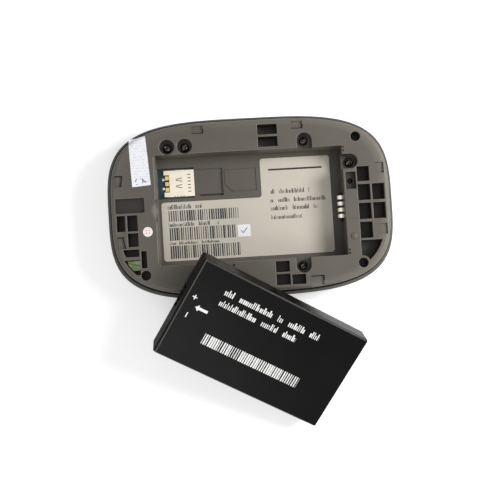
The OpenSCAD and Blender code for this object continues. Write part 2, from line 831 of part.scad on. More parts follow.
module contact_4() {
    contact(3);
}

module contact_block() {
    color("#242424") difference() {
        translate([bay_e, contact_y - block_w / 2 + contact_gap, board_top])
            cube([block_l, block_w - 2 * contact_gap, block_top - contact_gap - board_top]);
        for (i = [0 : contact_count - 1])
            translate([bay_e - cut, contact_spot(i) - contact_slot_w / 2, contact_z - contact_slot_h / 2])
                cube([contact_slot_l + cut, contact_slot_w, contact_slot_h]);
    }
}

module usb_shell() {
    color("#B9BABB") translate([0, 0, usb_z]) difference() {
        pill_bar(usb_w, usb_h, port_back - body_w / 2, port_back - body_w / 2 + usb_l);
        pill_bar(usb_w - 2 * usb_wall, usb_h - 2 * usb_wall,
            -body_w / 2, port_back - body_w / 2 + usb_l - usb_back);
    }
}

module usb_tongue() {
    back = port_back - body_w / 2 + usb_l - usb_back;
    color("#1C1D1F") translate([-tongue_size[0] / 2, back - tongue_size[1], usb_z - tongue_size[2] / 2])
        cube(tongue_size);
}

// Coaxial socket, its mouth in the south wall
module antenna_jack(side) {
    color("#CDA94F") translate([side * jack_x, port_back - body_w / 2, jack_z]) rotate([-90, 0, 0]) {
        rotate_extrude() polygon([
            [0, jack_l], [jack_r, jack_l], [jack_r, 0], [jack_bore_r, 0], [jack_bore_r, jack_l - jack_back],
            [jack_pin_r, jack_l - jack_back], [jack_pin_r, jack_pin_in], [0, jack_pin_in - jack_pin_tip]
        ]);
        translate([-jack_r, 0, jack_l - jack_foot]) cube([2 * jack_r, jack_z - board_top, jack_foot]);
    }
}

module antenna_jack_west() {
    antenna_jack(-1);
}

module antenna_jack_east() {
    antenna_jack(1);
}

// A strip of antenna foil on the inside of the housing's wall, within a window in plan
module wall_foil(spot, size) {
    color("#C98B4A") intersection() {
        difference() {
            ring_slab(wall, antenna_z, antenna_z + antenna_h);
            ring_slab(wall + antenna_t, antenna_z - cut, antenna_z + antenna_h + cut);
        }
        block(spot, size, antenna_z - 2 * cut, antenna_z + antenna_h + 2 * cut);
    }
}

module antenna_west() {
    wall_foil([-body_l / 2, 0], [foil_window, antenna_span]);
}

module antenna_east() {
    wall_foil([body_l / 2, 0], [foil_window, antenna_span]);
}

module wifi_antenna() {
    wall_foil([wifi_antenna_x, body_w / 2], [wifi_antenna_span, foil_window]);
}

module tuner_board() {
    spot = [tuner_pocket[2] - tuner_gap - tuner_size[0] / 2, tuner_pocket[3] - tuner_gap - tuner_size[1] / 2];
    color("#A9C48B") intersection() {
        block(spot, tuner_size, frame_top - pocket_depth, frame_top - tuner_depth);
        ring_slab(tuner_pocket[4] + tuner_gap, 0, frame_top);
    }
}

// The button's flange keeps it behind the wall
module power_button() {
    color("#2E2D2C") translate([power_x, 0, power_z]) {
        pill_bar(power_l, power_h, power_back_y, body_w / 2 + power_proud);
        pill_bar(power_l + 2 * power_flange_edge, power_h + power_flange_edge,
            power_back_y, power_back_y + power_flange);
    }
}

module power_switch() {
    front_y = power_back_y - key_travel - key_gap;
    color("#C9CACB") block([power_x, front_y - power_switch_size[1] / 2], power_switch_size,
        board_top, board_top + power_switch_size[2]);
}

module reset_button() {
    flange_top = reset_seat - key_gap;
    color("#1F1F1F") translate([reset_x, reset_y, 0]) {
        cylinder_at(reset_r, flange_top - lap, frame_top - reset_pocket_depth - reset_sunk);
        cylinder_at(reset_flange_r, flange_top - reset_flange_t, flange_top);
        cylinder_at(reset_stem_r, reset_stem_low, flange_top - reset_flange_t + lap);
    }
}

module reset_switch() {
    color("#C9CACB") block([reset_x, reset_y], reset_switch_size, board_top, board_top + switch_h);
}

module status_led() {
    color("#F2F0E0") block(led_spot, led_size, board_z - led_h, board_z);
}

module light_pipe() {
    color("#E6EDF0") translate([led_spot[0], led_spot[1], 0]) cylinder_at(pipe_r, lens_t, board_z - led_h);
}

module info_label() {
    color("#BDB8AC") {
        plate(label_w_edge, label_gap - bay_n, label_e_edge, label_notch_y, floor_z, sticker_t, label_r);
        plate(label_notch_x, label_gap - bay_n, label_e_edge, bay_n - label_gap, floor_z, sticker_t, label_r);
    }
}

module check_sticker() {
    color("#F1F1EC") block(check_spot, check_size, floor_z + sticker_t, floor_z + 2 * sticker_t);
}

// A paper sticker over the frame's north-west corner, lying down its rounded edge
module serial_sticker() {
    color("#F3F4FA") intersection() {
        difference() {
            frame_outside(sticker_t);
            frame_outside(0);
        }
        translate([0, 0, frame_top - frame_edge_r])
            linear_extrude(frame_edge_r + cut) polygon(paper_corners);
    }
}

module moisture_dot() {
    color("#EBDDD8") translate([dot_spot[0], dot_spot[1], 0])
        cylinder_at(dot_r, frame_top, frame_top + sticker_t);
}

// A bar along X with its four long edges rounded, seen in the pack's own frame
module soft_bar(x0, x1, w, z0, z1, r) {
    translate([x0, 0, 0]) rotate([90, 0, 90]) linear_extrude(x1 - x0) {
        translate([-w / 2 + r, z0]) square([w - 2 * r, z1 - z0]);
        translate([-w / 2, z0 + r]) square([w, z1 - z0 - 2 * r]);
        for (y = [-w / 2 + r, w / 2 - r], z = [z0 + r, z1 - r])
            translate([y, z]) circle(r = r);
    }
}

// A box that runs along the pack, drawn in from the pack's sides and faces
module pack_core(x0, x1, inset) {
    translate([x0, inset - battery_w / 2, inset])
        cube([x1 - x0, battery_w - 2 * inset, battery_t - 2 * inset]);
}

module battery_sleeve() {
    color("#232220") leaning() difference() {
        soft_bar(cap_end, battery_l / 2, battery_w, 0, battery_t, battery_edge_r);
        pack_core(cap_end - cut, battery_l / 2 - sleeve_wall, sleeve_wall);
    }
}

module battery_cell() {
    inset = sleeve_wall + cell_gap;
    color("#8F9296") leaning() pack_core(cap_end, battery_l / 2 - inset, inset);
}

// Moulded end, a step smaller than the sleeve, with slots that let the contact leaves in
module battery_end_cap() {
    color("#1B1A19") leaning() difference() {
        soft_bar(pack_end, cap_end, battery_w - 2 * cap_step, cap_step, battery_t - cap_step, battery_edge_r);
        pack_core(cell_board_x, cap_end + cut, cap_room);
        for (i = [0 : contact_count - 1])
            translate([pack_end - cut, -contact_spot(i) - contact_slot_w / 2, pad_slot_z])
                cube([cap_wall + 2 * cut, contact_slot_w, pad_slot_h]);
    }
}

module battery_board() {
    low_x = cell_board_x + pad_t;
    color("#2C6B4C") leaning() pack_core(low_x, low_x + cell_board_t, cell_board_edge);
}

module battery_pads() {
    color("#E2BE62") leaning()
        for (i = [0 : contact_count - 1])
            translate([cell_board_x, -contact_spot(i) - contact_w / 2, pad_slot_z + (pad_slot_h - pad_h) / 2])
                cube([pad_t, contact_w, pad_h]);
}

module cell_tabs() {
    color("#C4C4C0") leaning()
        for (y = [-battery_w / 4, battery_w / 4])
            translate([cap_end - tab_l, y - tab_w / 2, (battery_t - tab_t) / 2])
                cube([tab_l, tab_w, tab_t]);
}

front_housing();
display_lens();
lens_tape();
display_panel();
display_ribbon();
main_board();
modem_shield();
wifi_shield();
modem_chip();
wifi_chip();
rear_frame();
frame_screws();
sim_shell();
sim_base();
sim_terminals();
contact_block();
contact_1();
contact_2();
contact_3();
contact_4();
usb_shell();
usb_tongue();
antenna_jack_west();
antenna_jack_east();
antenna_west();
antenna_east();
wifi_antenna();
tuner_board();
power_button();
power_switch();
reset_button();
reset_switch();
status_led();
light_pipe();
info_label();
check_sticker();
serial_sticker();
moisture_dot();
battery_sleeve();
battery_cell();
battery_end_cap();
battery_board();
battery_pads();
cell_tabs();
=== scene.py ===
"""Looks of a mobile hotspot that lies face down with its rear cover off and its battery pack leaning on it.

All modelling is in millimetres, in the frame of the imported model. Each finished piece is then scaled to metres.
"""

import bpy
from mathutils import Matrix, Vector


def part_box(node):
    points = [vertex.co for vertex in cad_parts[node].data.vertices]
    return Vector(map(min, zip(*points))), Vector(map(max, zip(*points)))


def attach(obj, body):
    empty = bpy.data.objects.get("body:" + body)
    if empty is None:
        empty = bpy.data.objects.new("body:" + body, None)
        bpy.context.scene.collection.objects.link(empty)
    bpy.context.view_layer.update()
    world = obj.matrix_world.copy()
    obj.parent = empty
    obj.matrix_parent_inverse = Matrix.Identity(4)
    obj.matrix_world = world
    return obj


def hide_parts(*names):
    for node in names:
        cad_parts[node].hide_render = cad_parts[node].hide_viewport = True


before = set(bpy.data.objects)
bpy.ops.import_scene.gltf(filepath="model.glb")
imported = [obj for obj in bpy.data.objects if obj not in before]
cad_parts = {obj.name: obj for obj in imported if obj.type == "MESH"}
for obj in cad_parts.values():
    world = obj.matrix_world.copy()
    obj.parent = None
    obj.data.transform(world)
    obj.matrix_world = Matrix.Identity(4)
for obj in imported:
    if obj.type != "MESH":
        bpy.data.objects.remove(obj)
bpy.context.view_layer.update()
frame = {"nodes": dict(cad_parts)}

import math
from contextlib import contextmanager

import bmesh
import bpy
from bpy.props import FloatProperty, FloatVectorProperty, IntProperty, PointerProperty
from bpy.types import NodeSocket, Operator, Panel, PropertyGroup
from mathutils import Euler, Matrix, Vector

bl_info = {
    "name": "Mobile hotspot",
    "version": (1, 0, 0),
    "blender": (4, 5, 0),
    "location": "View3D > Sidebar > Hotspot",
    "description": "Builds the looks of an opened mobile hotspot round its packed frame",
    "category": "Object",
}

MM = 0.001
X, Y, Z = range(3)

# How far a cutter reaches past what it cuts, how far joined solids overlap, the room round a piece that fits or
# moves, how far a painted field reaches past its edge, and the distances at which points count as one
CUT = 0.5
OVERLAP = 0.05
FIT = 0.15
MARGIN = 0.1
NEAR = 1e-3
SLIVER = 0.004
ARC_STEPS = 8
RIM_STEPS = 3
# The share of a bar's thickness that rounds its end, just short of where the two roundings would meet
HALF_ROUND = 0.499


def corners(name):
    """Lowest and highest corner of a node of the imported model, in millimetres."""
    low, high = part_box(name)
    return low / MM, high / MM


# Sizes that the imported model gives
HALF_L, HALF_W, RIM_Z = corners("front_housing")[1]
FRAME_TOP = corners("moisture_dot")[0].z
FLOOR_Z = corners("info_label")[0].z
BOARD_Z, BOARD_TOP = (corner.z for corner in corners("main_board"))
LABEL_MARGIN = 1.8
BAY_E = corners("contact_block")[0].x
BAY_N = corners("info_label")[1].y + LABEL_MARGIN

# The outline is a superellipse, the same at every inset
OUTLINE_POWER = 3.54
WALL = 1.4
FRONT_WALL = 2.2
FRONT_ROUND = 4
SEAM = 0.35
FRAME_INSET = WALL + SEAM
FRAME_ROUND = 1.6
FRAME_SKIN = 1.2
SKIRT_Z = RIM_Z - 1.2
RIB = 0.8
TUB_WALL = 1
LENS_INSET = 6.85
LENS_SEAT = 1.2
DISPLAY_HALF = (27.3, 20.6)
SCREEN_MARGIN = 1.5

# Ports and keys in the side walls
JACKS = ("antenna_jack_west", "antenna_jack_east")
JACK_HOLE = 4.6
PORT_GAP = 0.3
PIPE_HOLE_R = 0.9
LIP_OVER = 0.5
LIP_TOP = SKIRT_Z + 0.7
KEY_FLANGE = (0.6, 0.8, 0.3)
KEY_ROUND = 0.25

# Screws: two beside the card reader, then three whose recesses open into the bay
SCREW_EDGE = 2.9
SCREW_LINE = BAY_N + SCREW_EDGE
SCREW_SPOTS = [
    (4.65 - BAY_E, SCREW_LINE), (11.2 - BAY_E, SCREW_LINE), (BAY_E - 13.8, SCREW_LINE),
    (BAY_E + SCREW_EDGE, BAY_N - 6), (BAY_E - 16.8, -SCREW_LINE),
]
SCREW_SEAT = FRAME_TOP - 4.3
SCREW_RECESS_R = 2.8
SCREW_R = 0.8
SCREW_GAP = 0.1
SCREW_L = 6
HEAD_R = 1.6
HEAD_H = 1.2
HEAD_ROUND = 0.45
SOCKET_R = 0.68
SOCKET_DEPTH = 0.75
LOBE_R = 0.27
LOBE_OUT = 0.72
BOSS_R = 1.8
BOSS_FOOT_R = 2.4
BOSS_TOP = SCREW_SEAT - FRAME_SKIN
PILOT_DEPTH = 5.3

# Card reader and its well
READER_LOW, READER_HIGH = corners("sim_shell")
READER_Y = (READER_LOW.y + READER_HIGH.y) / 2
READER_GAP = 0.7
READER_SHEET = 0.2
READER_ROUND = 0.18
WELL_L = 11
WELL_W = 10.1
WELL_DEPTH = 0.67
WELL_X = READER_HIGH.x + WELL_L / 2
DRAIN_W = 0.8
DRAIN_START = 2
DRAIN_Z = FLOOR_Z - 1.1
CARD_L = 12.3
CARD_W = 8.8
CARD_CORNER = 2.6
CARD_X = READER_HIGH.x + WELL_L + 0.5
GROOVE_W = 0.35
GROOVE_DEPTH = 0.25
RIDGE = (CARD_X - 0.25, READER_Y, 0.5, 7.4)
RIDGE_H = 0.2

# Length and width of the openings and tabs of the reader's shell, and the step and turn of each finger's slits
TERMINAL_BAY = (2.4, 6.6)
MOUTH_SLOT = (1.1, 0.32)
MOUTH_PITCH = 1.3
FINGER_SLIT = (2.4, 0.26)
FINGER_SLITS = ((1.75, 0.2), (0.95, -0.2), (-0.75, 0.2), (-1.55, -0.2))
SIDE_NOTCH = (0.55, 0.7)
NOTCH_PITCH = 1.15
SOLDER_TAB = (0.85, 0.8)
SOLDER_TAB_T = 0.25
CATCH = (0.6, 0.3)
CATCH_PITCH = 1.1

# Sprung contacts
CONTACTS = range(1, 5)
LEAF_T = 0.3
LEAF_ROUND = 0.1
LEAF_TRAVEL = 0.8
COVER_PLATE_L = 6.4
COVER_PLATE_SEAM = 0.22

# Moulding pockets, each (x, y, length, width)
GRID_X = BAY_E + 7.4
WEST_X = -BAY_E - 9.5
DEEP_POCKETS = (
    [(GRID_X, 9.5, 4.6, 5.6)]
    + [(GRID_X, 9.7 - 7.1 * row, 4.6, 6) for row in (1, 2, 3)]
    + [(GRID_X + 5.35, 9.7 - 7.1 * row, 4.6, 6) for row in (1, 2)]
    + [(7.4, BAY_N + 3 + 4.6 * row, 7.3, 3.8) for row in range(2)]
    + [(10.1, -BAY_N - 2.9, 5.1, 4), (10.1, -BAY_N - 7.7, 5.1, 4), (15.9, -BAY_N - 7.9, 5.1, 3.6)]
    + [(WEST_X, -4.2, 3.8, 5.9), (WEST_X - 4.2, -4.2, 3.1, 5.9), (WEST_X, -10.4, 3.8, 5)]
    + [(-BAY_E - 5.9, -17.8, 2, 6.3)]
)
POCKET_DEPTH = 5.6
SHALLOW_RECESS = (WEST_X - 0.6, 2.3, 10.6, 5.5)
SHALLOW_DEPTH = 1.2
RESET_POCKET = (BAY_E + 2.7, BAY_N - 13.3, 3.8, 6.4)
RESET_SPOT = RESET_POCKET[:2]
RESET_DEPTH = 2
RESET_HOLE_R = 1.05
# The reset button's cap, flange and stem
RESET_KEY_R = (0.9, 1.4, 0.7)
RESET_FLANGE = 1

# Holes for the cover's pegs
PEG_X = HALF_L - 13.4
PEG_Y = HALF_W - 10.2
PEG_R = 1.8
PEG_DEPTH = 5
PEG_SPOTS = [(sx * PEG_X, sy * PEG_Y) for sx in (-1, 1) for sy in (-1, 1)]

# Pockets that follow the rim, each (low x, low y, high x, high y, inset of the rim wall)
CORNER_POCKET = (BAY_E + 5, -PEG_Y, HALF_L, -15.4, FRAME_INSET + 2.6)
WEDGE_POCKET = (-HALF_L, -16.6, -BAY_E - 7.6, -13.9, FRAME_INSET + 2.6)
TUNER_POCKET = (-HALF_L, -23.4, -BAY_E - 7.4, -17.8, FRAME_INSET + FRAME_ROUND + 0.1)
TUNER_GAP = 0.2

# Latch recesses in the long sides, each with the slits that free its finger, measured from its middle
LATCH_DEPTH = 0.8
LATCHES = [
    ((18.55, HALF_W - 4.65, 4.1, 2.7), [(0, -1.35, 4.5, 0.4), (2.05, -0.55, 0.4, 1.6)]),
    ((22.85, 3.9 - HALF_W, 4.6, 5), [(0, 2.4, 5, 0.5), (2.3, 1.5, 0.5, 1.8)]),
]
# Latch recesses in the short sides: x of the slanted inner side's two ends and of the outer side, y of the two
# ends, and the slits of the west ones
END_LATCH_X = (HALF_L - 6, HALF_L - 6.7, HALF_L - 3.5)
END_LATCH_Y = (9.4, 13.5)
END_SLIT_W = 0.6
END_SLITS = {-1: (5 - HALF_L, -9.3, 2.8, 0.45), 1: (5 - HALF_L, 13.4, 2.8, 0.45)}

# The dome that the cover clicks over, the thumb scoop and the slanted edge at the bay's west end
DOME_SPOT = (BAY_E + 2.6, 6.8 - BAY_N)
DOME_R = 1.35
DOME_H = 0.5
SCOOP_X = 3.1 - BAY_E
SCOOP_R = 6
SCOOP_LIFT = 2.2
SLANT = 0.55
SLANT_END = 0.6

# Gate holes beside the bay's corners and a pin hole in the south strip
GATE_HOLES = [(BAY_E + 0.55, side * (BAY_N - 0.6 - step), 0.6, 0.7) for side in (-1, 1) for step in (0, 1.3)]
GATE_DEPTH = 0.7
PIN_HOLE = (-7.9, -BAY_N - 1.3)
PIN_HOLE_R = 0.45
PIN_HOLE_DEPTH = 0.9

# The leaning pack: half its length and width, its thickness, and the place of its own frame
PACK = (BAY_E - 0.65, BAY_N - 0.9, FRAME_TOP - FLOOR_Z - 0.2)
PACK_ROUND = 0.9
PACK_FAR_ROUND = 0.45
PACK_END_L = 3.4
PACK_END_ROUND = 0.5
PACK_END_FACE = 1
PACK_END_WALL = 1.2
FILM_START = 0.8
FILM_T = 0.4
FILM_LIP = 0.12
FILM_EDGE = 0.08
PAD_HOLE = (1.75, 4)
CELL_SHIFT = 1.475
CELL_LOW, CELL_HIGH = corners("battery_cell")
LEAN_TURN = Euler([math.radians(angle) for angle in (14.7, 12.2, -29.9)]).to_matrix().to_4x4()
LEAN = (Matrix.Translation((CELL_LOW + CELL_HIGH) / 2) @ LEAN_TURN
        @ Matrix.Translation((-CELL_SHIFT, 0, -PACK[2] / 2)))

# Print, which spells nothing: low x, low y, high x and high y of each row, by its seed
LABEL_BARS = {3: (-31.6, -3.6, -4.9, 0.5), 41: (-31.6, -10.9, -6.2, -6.0), 83: (-31.6, -17.8, -4.9, -12.9)}
LABEL_LINES = {
    5: (-31.7, 1.1, -18.6, 2.9), 11: (-31.7, -5.6, -12.4, -4.0), 19: (-31.7, -12.5, -12.6, -11.3),
    29: (7.7, 4.9, 22.9, 6.7), 31: (7.7, 1.6, 28.9, 3.3), 37: (7.7, -1.5, 25.5, 0.3), 43: (7.7, -4.9, 19.5, -3.2),
}
LABEL_RULE = (7.6, 13.9, 28.3, 14.6)
PACK_LINES = {47: (-22.0, 10.9, 17.3, 13.4), 53: (-21.7, 6.6, 9.8, 9.1)}
PACK_BARS = (-20.5, -9.0, 19.0, -4.8)
PACK_SIGNS = [
    (-31.3, 5.35, -29.5, 5.75), (-30.6, 4.65, -30.2, 6.45), (-30.2, -2.6, -29.8, -0.6), (-27.3, 1.85, -23.7, 2.9)]
PACK_ARROW = (-28.6, 1.3, -27.25, 3.46)
STICKER_CELL = (0.34, 1.05, 50)
STICKER_MARKS = (-43.6, 12.6, -36.8, 26.4)
STICKER_SMEAR = (-42.6, 9.9, -37.6, 12.2)
STICKER_CORNERS = [
    (-BAY_E - 8.8, BAY_N - 11.4), (-BAY_E - 1.9, BAY_N - 10.9),
    (-BAY_E - 9.4, BAY_N + 6.5), (-BAY_E - 3.1, BAY_N + 7.4),
]
STICKER_T = 0.08
STICKER_GAP = 0.012
LABEL_NOTCH = (CARD_X + CARD_L + 1.7, BAY_N - 16.7)
LABEL_CORNER = 1.15


def linear(code):
    """The linear colour of an sRGB hex value."""
    shares = [int(code[i:i + 2], 16) / 255 for i in (1, 3, 5)]
    return tuple(c / 12.92 if c <= 0.04045 else ((c + 0.055) / 1.055) ** 2.4 for c in shares)


def colour(name, description, code):
    """A colour that a user can change."""
    return FloatVectorProperty(
        name=name, description=description, subtype="COLOR", size=3, min=0, max=1, default=linear(code))


class HotspotColours(PropertyGroup):
    """Colours of the finishes."""

    frame: colour("Frame", "Moulded inner frame", "#58544C")
    housing: colour("Housing", "Front housing round the frame", "#585753")
    black: colour("Black plastic", "Contact block, keys and the pack's moulded end", "#161514")
    label: colour("Label", "Coated information label", "#C8C1B4")
    ink: colour("Ink", "Print on the labels", "#1F1E1C")
    paper: colour("Paper", "Paper stickers", "#F3F4F9")
    sleeve: colour("Sleeve", "Printed film round the battery", "#0C0B0B")
    steel: colour("Steel", "Sheet of the card reader", "#EFE6D4")
    gold: colour("Gold", "Plating of contacts and sockets", "#E3C98C")
    board: colour("Board", "Solder mask of the main board", "#1B383E")


class HotspotSizes(PropertyGroup):
    """Sizes that only the looks use."""

    edge: FloatProperty(
        name="Edge", description="Rounding of moulded edges",
        default=0.00025, min=0.00005, max=0.0004, unit="LENGTH")
    curl: FloatProperty(
        name="Curl", description="How far the paper sticker lifts",
        default=0.00012, min=0, max=0.0005, unit="LENGTH")
    outline_points: IntProperty(
        name="Outline points", description="Points round the body's outline", default=192, min=96, max=384)
    lens: FloatProperty(
        name="Focal length", description="Lens of the camera", default=54.43, min=20, max=200, unit="CAMERA")


# Modelling


def pick(*pieces):
    """Selects just these pieces, with the first one active."""
    bpy.ops.object.select_all(action="DESELECT")
    for piece in pieces:
        piece.select_set(True)
    bpy.context.view_layer.objects.active = pieces[0]


@contextmanager
def editing(piece):
    """Edit mode on one piece, with all of it selected."""
    pick(piece)
    bpy.ops.object.mode_set(mode="EDIT")
    bpy.ops.mesh.select_all(action="SELECT")
    yield
    bpy.ops.object.mode_set(mode="OBJECT")


def modify(piece, kind, **settings):
    """Adds a modifier with its settings and applies it."""
    pick(piece)
    bpy.ops.object.modifier_add(type=kind)
    modifier = piece.modifiers[-1]
    for key, value in settings.items():
        setattr(modifier, key, value)
    bpy.ops.object.modifier_apply(modifier=modifier.name)


def combine(piece, others, operation):
    """Adds, takes away or intersects other pieces, which are used up."""
    for other in others:
        modify(piece, "BOOLEAN", operation=operation, solver="MANIFOLD", object=other)
        bpy.data.objects.remove(other)
    return piece


def added(scale=(1, 1, 1)):
    """The primitive that was added last, with its place and scale put into its mesh."""
    bpy.context.object.scale = scale
    bpy.ops.object.transform_apply()
    return bpy.context.object


def new_box(low, high, turn=(0, 0, 0)):
    """A box from corner to corner, turned about its middle."""
    low, high = Vector(low), Vector(high)
    bpy.ops.mesh.primitive_cube_add(size=1, location=(low + high) / 2, rotation=turn)
    return added(high - low)


def extent(plan):
    """Low x, low y, high x and high y of a plan given as (x, y, length, width)."""
    x, y, length, width = plan
    return x - length / 2, y - width / 2, x + length / 2, y + width / 2


def grown(plan):
    """A plan with a rib's thickness added on each side."""
    return (*plan[:2], *[side + 2 * RIB for side in plan[2:]])


def block(plan, low, high, turn=0):
    """A box given by its plan and its heights, turned about Z."""
    west, south, east, north = extent(plan)
    return new_box((west, south, low), (east, north, high), (0, 0, turn))


def new_rod(spot, radius, low, high, sides=48):
    """A standing cylinder."""
    bpy.ops.mesh.primitive_cylinder_add(
        vertices=sides, radius=radius, depth=high - low, location=(spot[0], spot[1], (low + high) / 2))
    return added()


def at_screws(radius, low, high):
    """A standing cylinder at each screw."""
    return [new_rod(spot, radius, low, high) for spot in SCREW_SPOTS]


def quarter(steps):
    """Angles up to a right angle, in equal steps."""
    return [math.pi / 2 * k / steps for k in range(steps + 1)]


def superellipse(share):
    """One coordinate of the outline, from the cosine or sine of its angle."""
    return math.copysign(abs(share) ** (2 / OUTLINE_POWER), share)


def stacked(piece, middle, half, levels):
    """Extrudes a flat shape through levels, each given as (growth, height), the first being where it lies."""
    growth, height = levels[0]
    with editing(piece):
        for next_growth, next_height in levels[1:]:
            bpy.ops.mesh.extrude_region_move(TRANSFORM_OT_translate={"value": (0, 0, next_height - height)})
            shares = [(side + next_growth) / (side + growth) for side in half]
            bpy.ops.transform.resize(value=(*shares, 1), center_override=(*middle, next_height))
            growth, height = next_growth, next_height
        bpy.ops.mesh.select_all(action="SELECT")
        bpy.ops.mesh.normals_make_consistent(inside=False)
    return piece


def lofted(levels):
    """A closed solid through a stack of outlines, each level given as (inset, height)."""
    inset, height = levels[0]
    bpy.ops.mesh.primitive_circle_add(
        vertices=bpy.context.scene.hotspot_sizes.outline_points, radius=1, fill_type="NGON")
    piece = bpy.context.object
    for point in piece.data.vertices:
        x, y = superellipse(point.co.x), superellipse(point.co.y)
        point.co = x * (HALF_L - inset), y * (HALF_W - inset), height
    return stacked(piece, (0, 0), (HALF_L, HALF_W), [(-inset, height) for inset, height in levels])


def slab(inset, low, high):
    """A plate with the body's outline, drawn in by an inset."""
    return lofted([(inset, low), (inset, high)])


def flare(floor, top):
    """Levels of a cut that leaves its rim rounded."""
    radius = bpy.context.scene.hotspot_sizes.edge / MM
    rim = [(radius * (1 - math.cos(t)), top - radius * (1 - math.sin(t))) for t in quarter(RIM_STEPS)]
    return [(0, floor), *rim, (radius, top + CUT)]


def pocket(plan, floor):
    """A cut with a rectangular plan down from the frame's top."""
    x, y, *size = plan
    bpy.ops.mesh.primitive_plane_add(size=1, location=(x, y, floor))
    return stacked(added((*size, 1)), (x, y), [side / 2 for side in size], flare(floor, FRAME_TOP))


def bore(spot, radius, floor):
    """A round cut down from the frame's top."""
    bpy.ops.mesh.primitive_circle_add(vertices=64, radius=radius, fill_type="NGON", location=(*spot, floor))
    return stacked(added(), spot, (radius, radius), flare(floor, FRAME_TOP))


def rim_block(box, low, high):
    """A block round a pocket that follows the rim."""
    outline = slab(box[4] - RIB, low - CUT, high + CUT)
    walls = new_box((box[0] - RIB, box[1] - RIB, low), (box[2] + RIB, box[3] + RIB, high))
    return combine(outline, [walls], "INTERSECT")


def rim_pocket(box, floor):
    """A cut down from the frame's top that follows the rim."""
    west, south, east, north, inset = box
    *levels, (growth, _) = flare(floor, FRAME_TOP)
    outline = lofted([(inset - out, height) for out, height in levels] + [(inset - growth, FRAME_TOP + 2 * CUT)])
    cut = pocket(((west + east) / 2, (south + north) / 2, east - west, north - south), floor)
    return combine(outline, [cut], "INTERSECT")


def opening(screw, way):
    """Plan of the slot by which a screw's recess opens into the bay."""
    length = SCREW_EDGE + CUT
    middle = [spot + step * length / 2 for spot, step in zip(SCREW_SPOTS[screw], way)]
    return (*middle, *[length if step else 2 * SCREW_RECESS_R for step in way])


SCREW_OPENINGS = [opening(2, (0, -1)), opening(3, (-1, 0)), opening(4, (0, 1))]


def along(axis):
    """A test for edges that run along an axis."""
    others = [other for other in (X, Y, Z) if other != axis]
    return lambda a, b: all(abs(a[other] - b[other]) < NEAR for other in others)


def at(axis, place):
    """A test for edges that lie at a place on an axis."""
    return lambda a, b: abs(a[axis] - place) < NEAR and abs(b[axis] - place) < NEAR


def round_edges(piece, wanted, radius, segments, sharp=0):
    """Rounds the edges that a test picks by their two ends, if they turn by at least an angle."""
    with editing(piece):
        bpy.ops.mesh.select_mode(type="EDGE")
        bpy.ops.mesh.select_all(action="DESELECT")
        mesh = bmesh.from_edit_mesh(piece.data)
        for edge in mesh.edges:
            turns = math.degrees(edge.calc_face_angle(0)) >= sharp
            edge.select_set(turns and wanted(edge.verts[0].co, edge.verts[1].co))
        bmesh.update_edit_mesh(piece.data)
        bpy.ops.mesh.bevel(offset=radius, segments=segments, affect="EDGES")
    return piece


def pill(low_x, high_x, low_z, high_z, low_y, high_y):
    """A bar along Y with a round-ended section."""
    bar = new_box((low_x, low_y, low_z), (high_x, high_y, high_z))
    return round_edges(bar, along(Y), HALF_ROUND * (high_z - low_z), 12)


def settle(piece, name, body, material, nodes, place=None, smooth=35):
    """Cleans a piece, puts it in its place, in metres, covers it, ties it to its body and hides the nodes it
    stands for.
    """
    piece.name = piece.data.name = name
    with editing(piece):
        bpy.ops.mesh.remove_doubles(threshold=SLIVER)
        bpy.ops.mesh.dissolve_degenerate(threshold=SLIVER)
        bpy.ops.mesh.select_all(action="SELECT")
        bpy.ops.mesh.quads_convert_to_tris(quad_method="BEAUTY", ngon_method="BEAUTY")
    piece.matrix_world = Matrix.Scale(MM, 4) @ (place or Matrix.Identity(4))
    bpy.ops.object.transform_apply()
    bpy.ops.object.shade_smooth_by_angle(angle=math.radians(smooth))
    modify(piece, "WEIGHTED_NORMAL", keep_sharp=True, weight=100)
    cover(piece, material)
    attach(piece, body)
    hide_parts(*nodes)


def cover(piece, material):
    """Gives a piece its one finish."""
    piece.data.materials.clear()
    piece.data.materials.append(material)


def finish_nodes(material, *names):
    """Gives nodes that stay as they are their finish."""
    for name in names:
        cover(frame["nodes"][name], material)


# Materials

# The property that says what a kind of node does
MODES = {"Math": "operation", "VectorMath": "operation", "Mix": "data_type", "Mapping": "vector_type",
         "TexWhiteNoise": "noise_dimensions"}
# How dark painted shade and how light painted highlights are, against the plastic's own colour
PAINTED_SHADE_SHARE = 0.15
PAINTED_HIGHLIGHT_SHARE = 1.9
# How far apart the random rows of two seeds lie
SEED_STEP = 31.7


def add(kind, *values, tree=None):
    """Adds a node, sets or links its inputs in order or by name, and gives its first output.

    The kind may end in what the node does, such as "Math ADD". The node joins the tree of what is linked to it."""
    kind, _, mode = kind.partition(" ")
    named = values[0] if values and isinstance(values[0], dict) else {}
    linked = [value for value in named.values() or values if isinstance(value, NodeSocket)]
    tree = tree or linked[0].id_data
    node = tree.nodes.new("ShaderNode" + kind)
    if mode:
        setattr(node, MODES[kind], mode)
    free = [socket for socket in node.inputs if socket.enabled]
    pairs = [(node.inputs[name], value) for name, value in named.items()] if named else zip(free, values)
    for socket, value in pairs:
        if isinstance(value, NodeSocket):
            tree.links.new(value, socket)
        else:
            socket.default_value = value
    return next((socket for socket in node.outputs if socket.enabled), None)


def chain(kind, *values):
    """Joins any number of values by a row of nodes of one kind."""
    total = values[0]
    for value in values[1:]:
        total = add(kind, total, value)
    return total


def new_tree(owner):
    """The empty node tree of a material or world."""
    owner.use_nodes = True
    owner.node_tree.nodes.clear()
    return owner.node_tree


